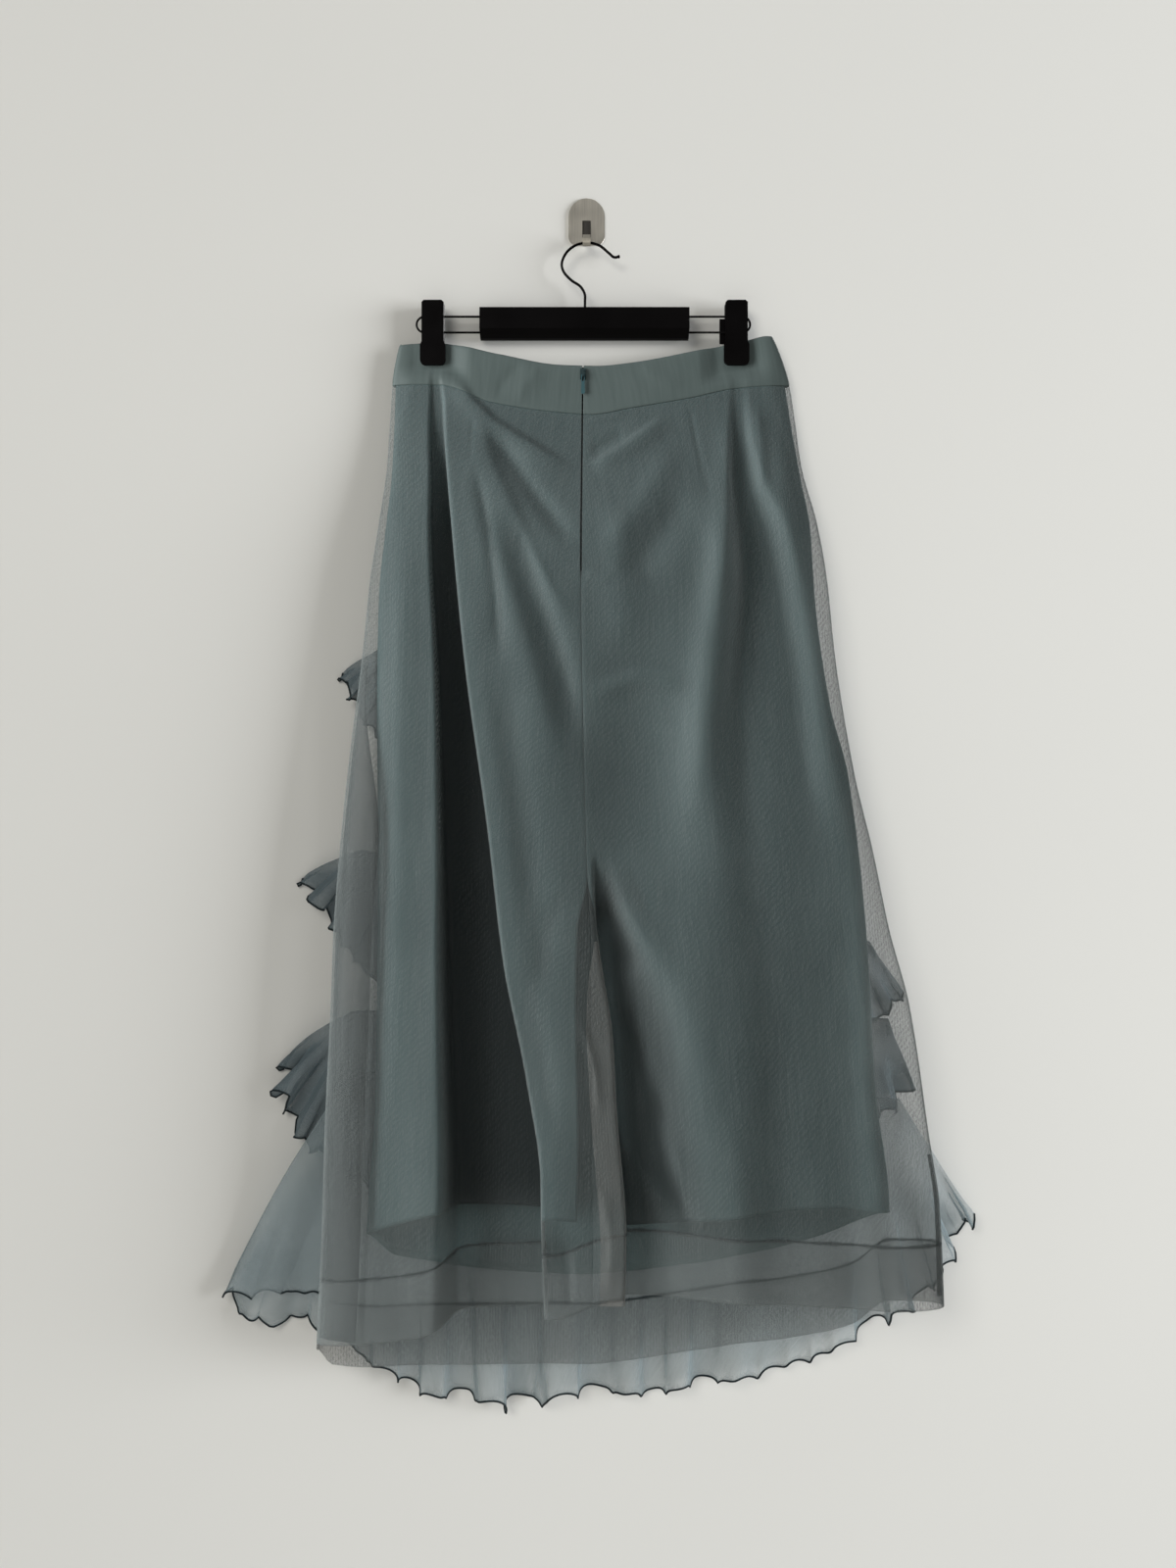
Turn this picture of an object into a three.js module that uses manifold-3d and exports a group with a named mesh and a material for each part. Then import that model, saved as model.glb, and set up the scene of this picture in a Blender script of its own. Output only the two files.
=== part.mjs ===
// A sheer-over-lining midi skirt, back side out, clipped to a trouser hanger on a small wall hook.
// Millimetres, +Z up, +X to the right, the wall is the plane y = 0 and everything lies at y < 0.
// The heights below are counted from the centre of the wall plate; the last lines move the whole
// so that its origin is the centre of the plate's round head, on the plate's back face.
import * as THREE from 'three';
import { mergeVertices } from 'three/addons/utils/BufferGeometryUtils.js';
import Module from 'manifold-3d';

const wasm = await Module();
wasm.setup();

// ---------------------------------------------------------------- driving dimensions

const GAP = 0.3; // between pieces that touch or are sewn together
const CLOTH = 1; // wall of the sheer overlay, the lining and the flounces
const HEM_CLOTH = 1.8; // the overlay where its deep hem is turned up double
const BAND_CLOTH = 1.6; // interfaced waistband
const HEM_DEPTH = 55; // height of the overlay's turned-up hem
const RING_ROUNDNESS = 2.5; // exponent of the flattened rings that the panels follow

const PLATE = { width: 34, height: 44, thickness: 1.2, cornerRadius: 8.5 };
const SLOT = { width: 8, top: 1, bottom: -14.5 };
const TONGUE = { width: 7.2, thickness: 1.3 };

const HANGER_Y = -14; // plane of the hanger's hook and wires
const HOOK_WIRE = 2.6;
const FRAME_WIRE = 2;
const BAR = { centre: -2, length: 194, depth: 20, top: -87, front: 20, height: 26, corner: 1.5 };
const FRAME_TOP = -93.3; // upper of the two parallel wires
const FRAME_BOTTOM = -108;
const FRAME_LEFT = -158;
const FRAME_RIGHT = 152;

const CLIP = { width: 20.5, padWidth: 23.4, top: -79.5, padTop: -118, bottom: -139.5, depth: 3.8 };
const HOUSING = { top: -95, bottom: -118, reach: 5 };
const GRIP = { reach: 7, fade: 9 }; // how far the band stays pressed beside a clip's pads
const STRAIGHT = { reach: 99, fade: 12 }; // the front of the band is straight between the clips
const CLIP_LEFT = -142.6;
const CLIP_RIGHT = 139;

const ZIP = { bottom: -336, slit: 1, tapeWidth: 13 };
const SLIDER = { centre: -149, width: 5.4, height: 10, base: 1.2, arch: 1.2, archReach: 6.4 };
const PULL = { width: 3.6, length: 18, thickness: 0.9, eye: 1.8, eyeLength: 5, bar: 1.2 };

// Rings of the sheer overlay: where its side seams lie and how far out its middle stands.
const RINGS = [
  { z: -112, left: -170, right: 172, back: -21, front: -8 },
  { z: -123, left: -174, right: 177, back: -21, front: -8 },
  { z: -157, left: -180, right: 188, back: -21, front: -8 },
  { z: -190, left: -182, right: 193, back: -25, front: -8 },
  { z: -233, left: -184, right: 198, back: -35, front: -9 },
  { z: -290, left: -191, right: 212, back: -47, front: -11 },
  { z: -340, left: -198, right: 220, back: -54, front: -12 },
  { z: -405, left: -204, right: 226, back: -60, front: -14 },
  { z: -516, left: -217, right: 243, back: -67, front: -17 },
  { z: -590, left: -224, right: 260, back: -71, front: -19 },
  { z: -660, left: -229, right: 274, back: -75, front: -21 },
  { z: -725, left: -231, right: 291, back: -78, front: -23 },
  { z: -850, left: -236, right: 309, back: -84, front: -27 },
  { z: -905, left: -237, right: 317, back: -87, front: -29 },
  { z: -1060, left: -243, right: 322, back: -94, front: -33 },
];

// The lining is a slimmer tube inside the overlay, inset from its front and back.
const LINING_RINGS = [
  { z: -150, left: -167, right: 177, inset: 2.7 },
  { z: -233, left: -177, right: 193, inset: 3.4 },
  { z: -290, left: -186, right: 205, inset: 4.5 },
  { z: -360, left: -192, right: 208, inset: 6 },
  { z: -457, left: -191, right: 222, inset: 6 },
  { z: -516, left: -190, right: 237, inset: 6 },
  { z: -660, left: -189, right: 253, inset: 6 },
  { z: -810, left: -190, right: 261, inset: 6 },
  { z: -890, left: -195, right: 271, inset: 6 },
  { z: -975, left: -200, right: 274, inset: 6 },
];

// Edges that run across the skirt, each as the height at a few places along X.
const BAND_BACK_TOP = [
  { x: -180, z: -121 },
  { x: -143, z: -118 },
  { x: -81, z: -130 },
  { x: -25, z: -140 },
  { x: 10, z: -141 },
  { x: 41, z: -138 },
  { x: 95, z: -128 },
  { x: 148, z: -116 },
  { x: 168, z: -112 },
  { x: 190, z: -112 },
];
const BAND_BACK_BOTTOM = [
  { x: -182, z: -158 },
  { x: -140, z: -158 },
  { x: -86, z: -175 },
  { x: -25, z: -184 },
  { x: 5, z: -186 },
  { x: 41, z: -180 },
  { x: 94, z: -171 },
  { x: 143, z: -161 },
  { x: 190, z: -158 },
];
// The front of the band sags between its ends in an even curve.
const BAND_FRONT = { centre: 4, halfWidth: 186, top: -117, topSag: 23, bottom: -158, bottomSag: 28 };
const OVERLAY_BACK_HEM = [
  { x: -246, z: -1028 },
  { x: -150, z: -1015 },
  { x: -105, z: -1000 },
  { x: -25, z: -997 },
  { x: 0, z: -988 },
  { x: 30, z: -980 },
  { x: 130, z: -985 },
  { x: 255, z: -993 },
  { x: 322, z: -995 },
];
const OVERLAY_FRONT_HEM = [
  { x: -246, z: -1028 },
  { x: -228, z: -1052 },
  { x: -165, z: -1058 },
  { x: 0, z: -1058 },
  { x: 122, z: -1042 },
  { x: 194, z: -1032 },
  { x: 243, z: -1020 },
  { x: 275, z: -997 },
  { x: 322, z: -995 },
];
const LINING_BACK_HEM = [
  { x: -200, z: -930 },
  { x: -120, z: -909 },
  { x: -9, z: -915 },
  { x: 28, z: -922 },
  { x: 214, z: -907 },
  { x: 274, z: -912 },
];
const LINING_FRONT_HEM = [
  { x: -200, z: -930 },
  { x: -170, z: -956 },
  { x: 0, z: -975 },
  { x: 100, z: -965 },
  { x: 200, z: -943 },
  { x: 274, z: -912 },
];

// Centre back: the seam's place along X, and the two edges of the slit in the lining.
const CENTRE_BACK = [
  { z: -112, x: -3 },
  { z: -336, x: -5 },
  { z: -600, x: 0 },
  { z: -740, x: 4 },
  { z: -1030, x: 6 },
];
// Beside the zip the lining stops at the edges of the tape.
const LINING_EDGES = [
  { z: -260, left: -6.8, right: 6.8 },
  { z: -420, left: -0.15, right: 0.15 },
  { z: -610, left: -0.15, right: 0.15 },
  { z: -660, left: -10, right: 7 },
  { z: -740, left: -13, right: 15 },
  { z: -835, left: -12, right: 20 },
  { z: -930, left: -14, right: 24 },
];

// Folds of the back that start at the clips: the centre line, its flat floor, its two slopes
// and its depth, from the clip down to the hem.
const LEFT_VALLEY = [
  { z: -158, x: -140, floor: 6, leftSlope: 10, rightSlope: 14, depth: 2 },
  { z: -225, x: -138, floor: 3, leftSlope: 16, rightSlope: 12, depth: 7 },
  { z: -300, x: -131, floor: 3, leftSlope: 18, rightSlope: 14, depth: 12 },
  { z: -420, x: -119, floor: 4, leftSlope: 24, rightSlope: 18, depth: 19 },
  { z: -565, x: -104, floor: 7, leftSlope: 34, rightSlope: 24, depth: 24 },
  { z: -690, x: -93, floor: 12, leftSlope: 42, rightSlope: 26, depth: 28 },
  { z: -810, x: -78, floor: 18, leftSlope: 48, rightSlope: 28, depth: 30 },
  { z: -1030, x: -70, floor: 22, leftSlope: 54, rightSlope: 34, depth: 28 },
];
const RIGHT_VALLEY = [
  { z: -158, x: 141, floor: 6, leftSlope: 14, rightSlope: 10, depth: 2 },
  { z: -225, x: 146, floor: 4, leftSlope: 11, rightSlope: 18, depth: 7 },
  { z: -300, x: 146, floor: 5, leftSlope: 14, rightSlope: 26, depth: 12 },
  { z: -420, x: 136, floor: 6, leftSlope: 20, rightSlope: 40, depth: 14 },
  { z: -565, x: 138, floor: 10, leftSlope: 34, rightSlope: 50, depth: 12 },
  { z: -760, x: 158, floor: 14, leftSlope: 44, rightSlope: 56, depth: 12 },
  { z: -1030, x: 176, floor: 16, leftSlope: 50, rightSlope: 56, depth: 14 },
];
// The overlay sinks into the lining's slit at the centre back.
const CENTRE_FOLD = [
  { z: -600, x: 0, floor: 0, leftSlope: 6, rightSlope: 6, depth: 0 },
  { z: -680, x: 0, floor: 1, leftSlope: 9, rightSlope: 9, depth: 5 },
  { z: -760, x: 5, floor: 3, leftSlope: 12, rightSlope: 12, depth: 9 },
  { z: -900, x: 10, floor: 5, leftSlope: 13, rightSlope: 14, depth: 12 },
  { z: -1030, x: 5, floor: 15, leftSlope: 14, rightSlope: 14, depth: 14 },
];
const BACK_FOLDS = [LEFT_VALLEY, RIGHT_VALLEY, CENTRE_FOLD];
// On the front the cloth only dents a little below each clip, towards the back.
const FRONT_FOLDS = [CLIP_LEFT, CLIP_RIGHT].map((x) => [
  { z: -158, x, floor: 9, leftSlope: 15, rightSlope: 15, depth: -1 },
  { z: -240, x, floor: 2, leftSlope: 20, rightSlope: 20, depth: 0 },
]);

// Flounces of the front: the seam's height at each side, the drop below it, how far the edge
// reaches past the side seams, and how many flutes it makes, of what depth. wall is how far the
// hanging part stands off the wall's plane, and free the share of the drop where it leaves the
// overlay.
const FLOUNCES = [
  { name: 'upper', seamLeft: -400, seamRight: -530, dropLeft: 92, dropRight: 70, dropMiddle: 96,
    reachLeft: 32, reachRight: 6, flutes: 8, flute: 3, wall: 7, free: 0, columns: 28, rows: 3 },
  { name: 'middle', seamLeft: -588, seamRight: -650, dropLeft: 124, dropRight: 80, dropMiddle: 118,
    reachLeft: 48, reachRight: 12, flutes: 9, flute: 4, wall: 8, free: 0, columns: 34, rows: 3 },
  { name: 'lower', seamLeft: -752, seamRight: -728, dropLeft: 110, dropRight: 84, dropMiddle: 100,
    reachLeft: 70, reachRight: 14, flutes: 10, flute: 4.5, wall: 7.5, free: 0, columns: 38, rows: 3 },
  { name: 'hem', seamLeft: -790, seamRight: -815, dropLeft: 218, dropRight: 170, dropMiddle: 290,
    reachLeft: 108, reachRight: 56, flutes: 12, flute: 9, wall: 14, free: 0.34, columns: 44, rows: 5 },
];

// ---------------------------------------------------------------- small helpers

function clamp(value, low, high) {
  return Math.min(Math.max(value, low), high);
}

function mix(a, b, share) {
  return a + (b - a) * share;
}

function smooth(share) {
  const t = clamp(share, 0, 1);
  return t * t * (3 - 2 * t);
}

// Reads one column of a table of rows at a place along the key column, straight between rows.
function read(rows, key, place, column) {
  const down = rows[0][key] > rows[rows.length - 1][key];
  const ordered = down ? [...rows].reverse() : rows;
  const last = ordered.length - 1;
  if (place <= ordered[0][key]) return ordered[0][column];
  if (place >= ordered[last][key]) return ordered[last][column];
  const next = ordered.findIndex((row) => row[key] > place);
  const below = ordered[next - 1];
  const above = ordered[next];
  const share = (place - below[key]) / (above[key] - below[key]);
  return mix(below[column], above[column], share);
}

function material(color, roughness, metalness) {
  return new THREE.MeshStandardMaterial({ color, roughness, metalness });
}

function mesh(name, geometry, look) {
  const piece = new THREE.Mesh(geometry, look);
  piece.name = name;
  return piece;
}

function solid(geometry) {
  const bare = geometry.clone();
  bare.deleteAttribute('normal');
  bare.deleteAttribute('uv');
  const merged = mergeVertices(bare, 1e-4);
  const shape = new wasm.Mesh({
    numProp: 3,
    vertProperties: new Float32Array(merged.attributes.position.array),
    triVerts: new Uint32Array(merged.index.array),
  });
  return new wasm.Manifold(shape);
}

function join(...geometries) {
  const whole = geometries.map(solid).reduce((all, one) => all.add(one));
  const shape = whole.getMesh();
  const geometry = new THREE.BufferGeometry();
  geometry.setAttribute('position', new THREE.BufferAttribute(new Float32Array(shape.vertProperties), 3));
  geometry.setIndex(new THREE.BufferAttribute(new Uint32Array(shape.triVerts), 1));
  return geometry;
}

// Turns an outline drawn in X and Z into a slab between two depths.
function slab(outline, yFront, yBack) {
  const depth = yBack - yFront;
  const geometry = new THREE.ExtrudeGeometry(outline, { depth, bevelEnabled: false, curveSegments: 6 });
  geometry.rotateX(Math.PI / 2);
  geometry.translate(0, yBack, 0);
  return geometry;
}

// Turns an outline drawn in Y and Z into a bar along X.
function barAlongX(outline, xLeft, xRight) {
  const depth = xRight - xLeft;
  const geometry = new THREE.ExtrudeGeometry(outline, { depth, bevelEnabled: false, curveSegments: 4 });
  geometry.applyMatrix4(new THREE.Matrix4().set(0, 0, 1, xLeft, 1, 0, 0, 0, 0, 1, 0, 0, 0, 0, 0, 1));
  return geometry;
}

function rectangle(left, right, bottom, top) {
  const outline = new THREE.Shape();
  outline.moveTo(left, bottom);
  outline.lineTo(right, bottom);
  outline.lineTo(right, top);
  outline.lineTo(left, top);
  outline.closePath();
  return outline;
}

function wire(curve, diameter, steps, sides) {
  const section = new THREE.Shape();
  section.absarc(0, 0, diameter / 2, 0, Math.PI * 2, false);
  return new THREE.ExtrudeGeometry(section, {
    steps,
    curveSegments: sides,
    bevelEnabled: false,
    extrudePath: curve,
  });
}

// ---------------------------------------------------------------- cloth as closed walls

// Makes a closed wall from a grid of points: half its thickness to each side of the grid.
// seams says which columns lie on a side seam, where the cloth faces along X, and which on the
// centre back, where it doesn't turn along X at all.
function clothWall(grid, thicknessAt, seams = { side: [], centre: [] }) {
  const rows = grid.length;
  const columns = grid[0].length;
  const positions = [];
  const indices = [];
  const across = new THREE.Vector3();
  const down = new THREE.Vector3();
  const normal = new THREE.Vector3();
  for (const side of [0.5, -0.5]) {
    for (let row = 0; row < rows; row += 1) {
      for (let column = 0; column < columns; column += 1) {
        const point = grid[row][column];
        across.subVectors(
          grid[row][Math.min(column + 1, columns - 1)],
          grid[row][Math.max(column - 1, 0)],
        );
        down.subVectors(
          grid[Math.min(row + 1, rows - 1)][column],
          grid[Math.max(row - 1, 0)][column],
        );
        normal.crossVectors(across, down).normalize();
        if (seams.side.includes(column)) normal.set(Math.sign(normal.x), 0, 0);
        if (seams.centre.includes(column)) normal.setX(0).normalize();
        const shift = side * thicknessAt(point);
        positions.push(point.x + normal.x * shift, point.y + normal.y * shift, point.z + normal.z * shift);
      }
    }
  }
  const inner = rows * columns;
  const quad = (a, b, c, d) => indices.push(a, b, c, a, c, d);
  for (let row = 0; row < rows - 1; row += 1) {
    for (let column = 0; column < columns - 1; column += 1) {
      const a = row * columns + column;
      const b = a + 1;
      const c = b + columns;
      const d = a + columns;
      quad(a, b, c, d);
      quad(inner + a, inner + d, inner + c, inner + b);
    }
  }
  const rim = (a, b) => quad(b, a, inner + a, inner + b);
  for (let column = 0; column < columns - 1; column += 1) {
    rim(column, column + 1);
    rim((rows - 1) * columns + column + 1, (rows - 1) * columns + column);
  }
  for (let row = 0; row < rows - 1; row += 1) {
    rim((row + 1) * columns, row * columns);
    rim(row * columns + columns - 1, (row + 1) * columns + columns - 1);
  }
  const geometry = new THREE.BufferGeometry();
  geometry.setAttribute('position', new THREE.Float32BufferAttribute(positions, 3));
  geometry.setIndex(indices);
  return geometry;
}

// Depth of one fold at a place: full on its floor, easing out over the slope on each side.
function foldDepth(rows, x, z) {
  const offset = x - read(rows, 'z', z, 'x');
  const slope = read(rows, 'z', z, offset < 0 ? 'leftSlope' : 'rightSlope');
  const out = (Math.abs(offset) - read(rows, 'z', z, 'floor')) / slope;
  return read(rows, 'z', z, 'depth') * (1 - smooth(out));
}

const edgeLine = (rows) => (x) => read(rows, 'x', x, 'z');

function frontSag(x, height, depth) {
  return height - depth * (1 - ((x - BAND_FRONT.centre) / BAND_FRONT.halfWidth) ** 2);
}

const BAND_EDGES = {
  back: { top: edgeLine(BAND_BACK_TOP), bottom: edgeLine(BAND_BACK_BOTTOM) },
  front: {
    top: (x) => frontSag(x, BAND_FRONT.top, BAND_FRONT.topSag),
    bottom: (x) => frontSag(x, BAND_FRONT.bottom, BAND_FRONT.bottomSag),
  },
};

const OVERLAY = {
  left: (z) => read(RINGS, 'z', z, 'left'),
  right: (z) => read(RINGS, 'z', z, 'right'),
  inset: () => 0,
};
const LINING = {
  left: (z) => read(LINING_RINGS, 'z', z, 'left'),
  right: (z) => read(LINING_RINGS, 'z', z, 'right'),
  inset: (z) => read(LINING_RINGS, 'z', z, 'inset'),
};

// The ring's depth at a place: a flattened ring between the side seams, with the folds added.
// side is 'back' or 'front'.
function ringDepth(layer, side, x, z) {
  const left = layer.left(z);
  const right = layer.right(z);
  const out = clamp((x - (left + right) / 2) / ((right - left) / 2), -1, 1);
  const fullness = (1 - Math.abs(out) ** RING_ROUNDNESS) ** (1 / RING_ROUNDNESS);
  // The band sags in the middle, and the skirt opens out from the band's lower edge.
  const bandEdge = BAND_EDGES[side].bottom(x);
  const sag = BAND_FRONT.bottom - bandEdge;
  const level = z + sag * (1 - smooth((bandEdge - z) / 150));
  const back = read(RINGS, 'z', level, 'back');
  const front = read(RINGS, 'z', level, 'front');
  const middle = (back + front) / 2;
  const inset = layer.inset(z);
  const outer = side === 'back' ? back + inset : front - inset;
  const folds = side === 'back' ? BACK_FOLDS : FRONT_FOLDS;
  const fold = folds.reduce((sum, rows) => sum + foldDepth(rows, x, z), 0);
  const seam = side === 'back' ? -GAP / 2 : GAP / 2;
  const fade = smooth((1 - Math.abs(out)) / 0.1);
  return middle + seam + (outer - middle - seam) * fullness + fold * fade;
}

// Builds a panel's grid. levels gives the height of each row at a place along X, across the
// place along X of a share of the panel's width at a height, and depth where the cloth lies
// along Y.
function panelGrid({ columns, levels, across, depth }) {
  return levels.map((level) => {
    const line = [];
    for (let column = 0; column <= columns; column += 1) {
      let z = level(0);
      let x = 0;
      for (let pass = 0; pass < 6; pass += 1) {
        x = across(column / columns, z);
        z = level(x);
      }
      line.push(new THREE.Vector3(x, depth(x, z), z));
    }
    return line;
  });
}

// How far inside the overlay's column a lining's column lies: all of the difference between the
// side seams at the seam, and next to nothing further in, so that both share their folds.
function inward(shareFromSeam, width, difference) {
  const power = clamp((0.8 * width) / Math.max(difference, 1), 1, 8);
  return difference * (1 - shareFromSeam) ** power;
}

const spreadFromLeft = (share) => share ** 1.35;
const spreadFromRight = (share) => 1 - (1 - share) ** 1.35;
const spreadBothEnds = (share) => {
  const t = 2 * share - 1;
  return 0.5 + (Math.sign(t) * (1 - (1 - Math.abs(t)) ** 1.35)) / 2;
};

const HALF_COLUMNS = 17; // across each half of the back, in the band, overlay and lining
const FRONT_COLUMNS = 15; // across the front's overlay and lining
const FRONT_BAND_COLUMNS = 30;
const PANEL_ROWS = 14;
const LINING_OVERLAP = 4; // how far the lining reaches up behind the band
const centreBack = (z) => read(CENTRE_BACK, 'z', z, 'x');
// Half the gap between the two back pieces: wider beside the zip than in the sewn seam.
const backGap = (z) => (z > ZIP.bottom ? ZIP.slit / 2 : GAP / 2);

const liningEdge = (z, side) => centreBack(z) + read(LINING_EDGES, 'z', z, side);

// The places across each panel, for a share of its width and a height.
const ACROSS = {
  left: (share, z) => mix(OVERLAY.left(z), centreBack(z) - backGap(z), spreadFromLeft(share)),
  right: (share, z) => mix(centreBack(z) + backGap(z), OVERLAY.right(z), spreadFromRight(share)),
  front: (share, z) => mix(OVERLAY.left(z), OVERLAY.right(z), spreadBothEnds(share)),
  leftLining: (share, z) => {
    const end = liningEdge(z, 'left');
    const place = spreadFromLeft(share);
    const difference = LINING.left(z) - OVERLAY.left(z);
    return mix(OVERLAY.left(z), end, place) + inward(place, end - OVERLAY.left(z), difference);
  },
  rightLining: (share, z) => {
    const end = liningEdge(z, 'right');
    const place = spreadFromRight(share);
    const difference = OVERLAY.right(z) - LINING.right(z);
    return mix(end, OVERLAY.right(z), place) - inward(1 - place, OVERLAY.right(z) - end, difference);
  },
  frontLining: (share, z) => mix(LINING.left(z), LINING.right(z), spreadBothEnds(share)),
};
// Which columns of a panel lie on a side seam and which on the centre back.
const SEAMS = {
  left: { side: [0], centre: [HALF_COLUMNS] },
  right: { side: [HALF_COLUMNS], centre: [0] },
  front: { side: [0, FRONT_COLUMNS], centre: [] },
  frontBand: { side: [0, FRONT_BAND_COLUMNS], centre: [] },
};

// ---------------------------------------------------------------- looks

const LOOKS = {
  overlay: () => material(0x5b6a68, 0.55, 0),
  lining: () => material(0x3f5a5a, 0.35, 0),
  band: () => material(0x566663, 0.45, 0),
  flounce: () => material(0x8c9ba0, 0.6, 0),
  zip: () => material(0x2b3434, 0.5, 0),
  pull: () => material(0x3e5f60, 0.4, 0),
  steel: () => material(0xa8a59c, 0.35, 1),
  black: () => material(0x0d0b0c, 0.4, 0),
};

// ---------------------------------------------------------------- the wall plate and hanger

function wallPlate() {
  const half = PLATE.width / 2;
  const corner = PLATE.cornerRadius;
  const bottom = -PLATE.height / 2;
  const outline = new THREE.Shape();
  outline.moveTo(-half + corner, bottom);
  outline.lineTo(half - corner, bottom);
  outline.absarc(half - corner, bottom + corner, corner, -Math.PI / 2, 0, false);
  outline.absarc(0, PLATE.height / 2 - half, half, 0, Math.PI, false);
  outline.absarc(-half + corner, bottom + corner, corner, Math.PI, Math.PI * 1.5, false);
  outline.holes.push(rectangle(-SLOT.width / 2, SLOT.width / 2, SLOT.bottom, SLOT.top));
  const plate = slab(outline, -PLATE.thickness, 0);
  return mesh('wall_plate', join(plate, tongue()), LOOKS.steel());
}

// A strip that leaves the plate below the slot, dips under the hanger's hook and turns up.
function tongue() {
  const inside = HANGER_Y + 0.2;
  const line = new THREE.SplineCurve([
    new THREE.Vector2(-0.55, -15.6),
    new THREE.Vector2(-4, -18.6),
    new THREE.Vector2(-9, -23.8),
    new THREE.Vector2(inside, -26.95),
    new THREE.Vector2(-18.2, -24.2),
    new THREE.Vector2(-19.6, -19),
  ]);
  const steps = 16;
  const upper = [];
  const lower = [];
  for (let step = 0; step <= steps; step += 1) {
    const point = line.getPoint(step / steps);
    const along = line.getTangent(step / steps);
    const half = TONGUE.thickness / 2;
    upper.push(new THREE.Vector2(point.x - along.y * half, point.y + along.x * half));
    lower.push(new THREE.Vector2(point.x + along.y * half, point.y - along.x * half));
  }
  const outline = new THREE.Shape([...upper, ...lower.reverse()]);
  return barAlongX(outline, -TONGUE.width / 2, TONGUE.width / 2);
}

function hangerHook() {
  const seat = BAR.top + GAP;
  const places = [
    [31, -37.2],
    [25.5, -38],
    [20.5, -34],
    [12, -27.2],
    [1, -24.4],
    [-10, -26.8],
    [-18.5, -33.5],
    [-23, -43.5],
    [-21, -52],
    [-14, -59.5],
    [-6, -65],
    [-1.8, -72],
    [-1.5, -79],
    [-1.5, seat],
  ];
  const curve = new THREE.CatmullRomCurve3(places.map(([x, z]) => new THREE.Vector3(x, HANGER_Y, z)));
  return mesh('hanger_hook', wire(curve, HOOK_WIRE, 44, 4), LOOKS.black());
}

function hangerBar() {
  const front = HANGER_Y - BAR.depth / 2;
  const back = HANGER_Y + BAR.depth / 2;
  const bottom = BAR.top - BAR.height;
  const corner = BAR.corner;
  const outline = new THREE.Shape();
  outline.moveTo(front, BAR.top - corner);
  outline.lineTo(front, BAR.top - BAR.front);
  outline.lineTo(HANGER_Y + 2, bottom);
  outline.lineTo(back - corner, bottom);
  outline.lineTo(back, bottom + corner);
  outline.lineTo(back, BAR.top - corner);
  outline.lineTo(back - corner, BAR.top);
  outline.lineTo(front + corner, BAR.top);
  outline.closePath();
  const left = BAR.centre - BAR.length / 2;
  return mesh('hanger_bar', barAlongX(outline, left, left + BAR.length), LOOKS.black());
}

// A hairpin of wire that leaves one end of the bar, turns round and comes back to it.
function frameWire(name, end, side) {
  const root = BAR.centre + side * (BAR.length / 2 + GAP);
  const radius = (FRAME_TOP - FRAME_BOTTOM) / 2;
  const middle = (FRAME_TOP + FRAME_BOTTOM) / 2;
  const turn = end - side * radius;
  const points = [new THREE.Vector3(root, HANGER_Y, FRAME_TOP)];
  const turnSteps = 12;
  for (let step = 0; step <= turnSteps; step += 1) {
    const angle = Math.PI / 2 - (Math.PI * step) / turnSteps;
    const x = turn + side * radius * Math.cos(angle);
    points.push(new THREE.Vector3(x, HANGER_Y, middle + radius * Math.sin(angle)));
  }
  points.push(new THREE.Vector3(root, HANGER_Y, FRAME_BOTTOM));
  const path = new THREE.CurvePath();
  points.slice(1).forEach((point, index) => path.add(new THREE.LineCurve3(points[index], point)));
  return mesh(name, wire(path, FRAME_WIRE, 42, 4), LOOKS.black());
}

function jawOutline(x) {
  const half = CLIP.width / 2;
  const pad = CLIP.padWidth / 2;
  const corner = 5;
  const outline = new THREE.Shape();
  outline.moveTo(x - half, CLIP.padTop);
  outline.lineTo(x - pad, CLIP.padTop - 2.5);
  outline.lineTo(x - pad, CLIP.bottom + corner);
  outline.absarc(x - pad + corner, CLIP.bottom + corner, corner, Math.PI, Math.PI * 1.5, false);
  outline.absarc(x + pad - corner, CLIP.bottom + corner, corner, Math.PI * 1.5, Math.PI * 2, false);
  outline.lineTo(x + pad, CLIP.padTop - 2.5);
  outline.lineTo(x + half, CLIP.padTop);
  outline.lineTo(x + half, CLIP.top - 2);
  outline.lineTo(x + half - 2, CLIP.top);
  outline.lineTo(x - half + 2, CLIP.top);
  outline.lineTo(x - half, CLIP.top - 2);
  outline.closePath();
  return outline;
}

// One jaw of a clip: a plate that presses the waistband and a thicker head against the wires.
// The head can be wider to the left, where the end of the spring's housing stands out.
function clipJaw(name, x, direction, housing = 0) {
  const cloth = HANGER_Y + direction * (1.15 + BAND_CLOTH / 2 + GAP);
  const outside = cloth + direction * CLIP.depth;
  const head = HANGER_Y + direction * (FRAME_WIRE / 2 + GAP);
  const half = CLIP.width / 2;
  const plate = slab(jawOutline(x), Math.min(cloth, outside), Math.max(cloth, outside));
  const overlap = cloth + direction;
  const headBlock = (outline) => slab(outline, Math.min(head, overlap), Math.max(head, overlap));
  const block = headBlock(rectangle(x - half, x + half, FRAME_BOTTOM - 4, CLIP.top - 2));
  const end = headBlock(rectangle(x - half - housing, x, HOUSING.bottom, HOUSING.top));
  return mesh(name, join(plate, block, end), LOOKS.black());
}

// ---------------------------------------------------------------- waistband

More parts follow.
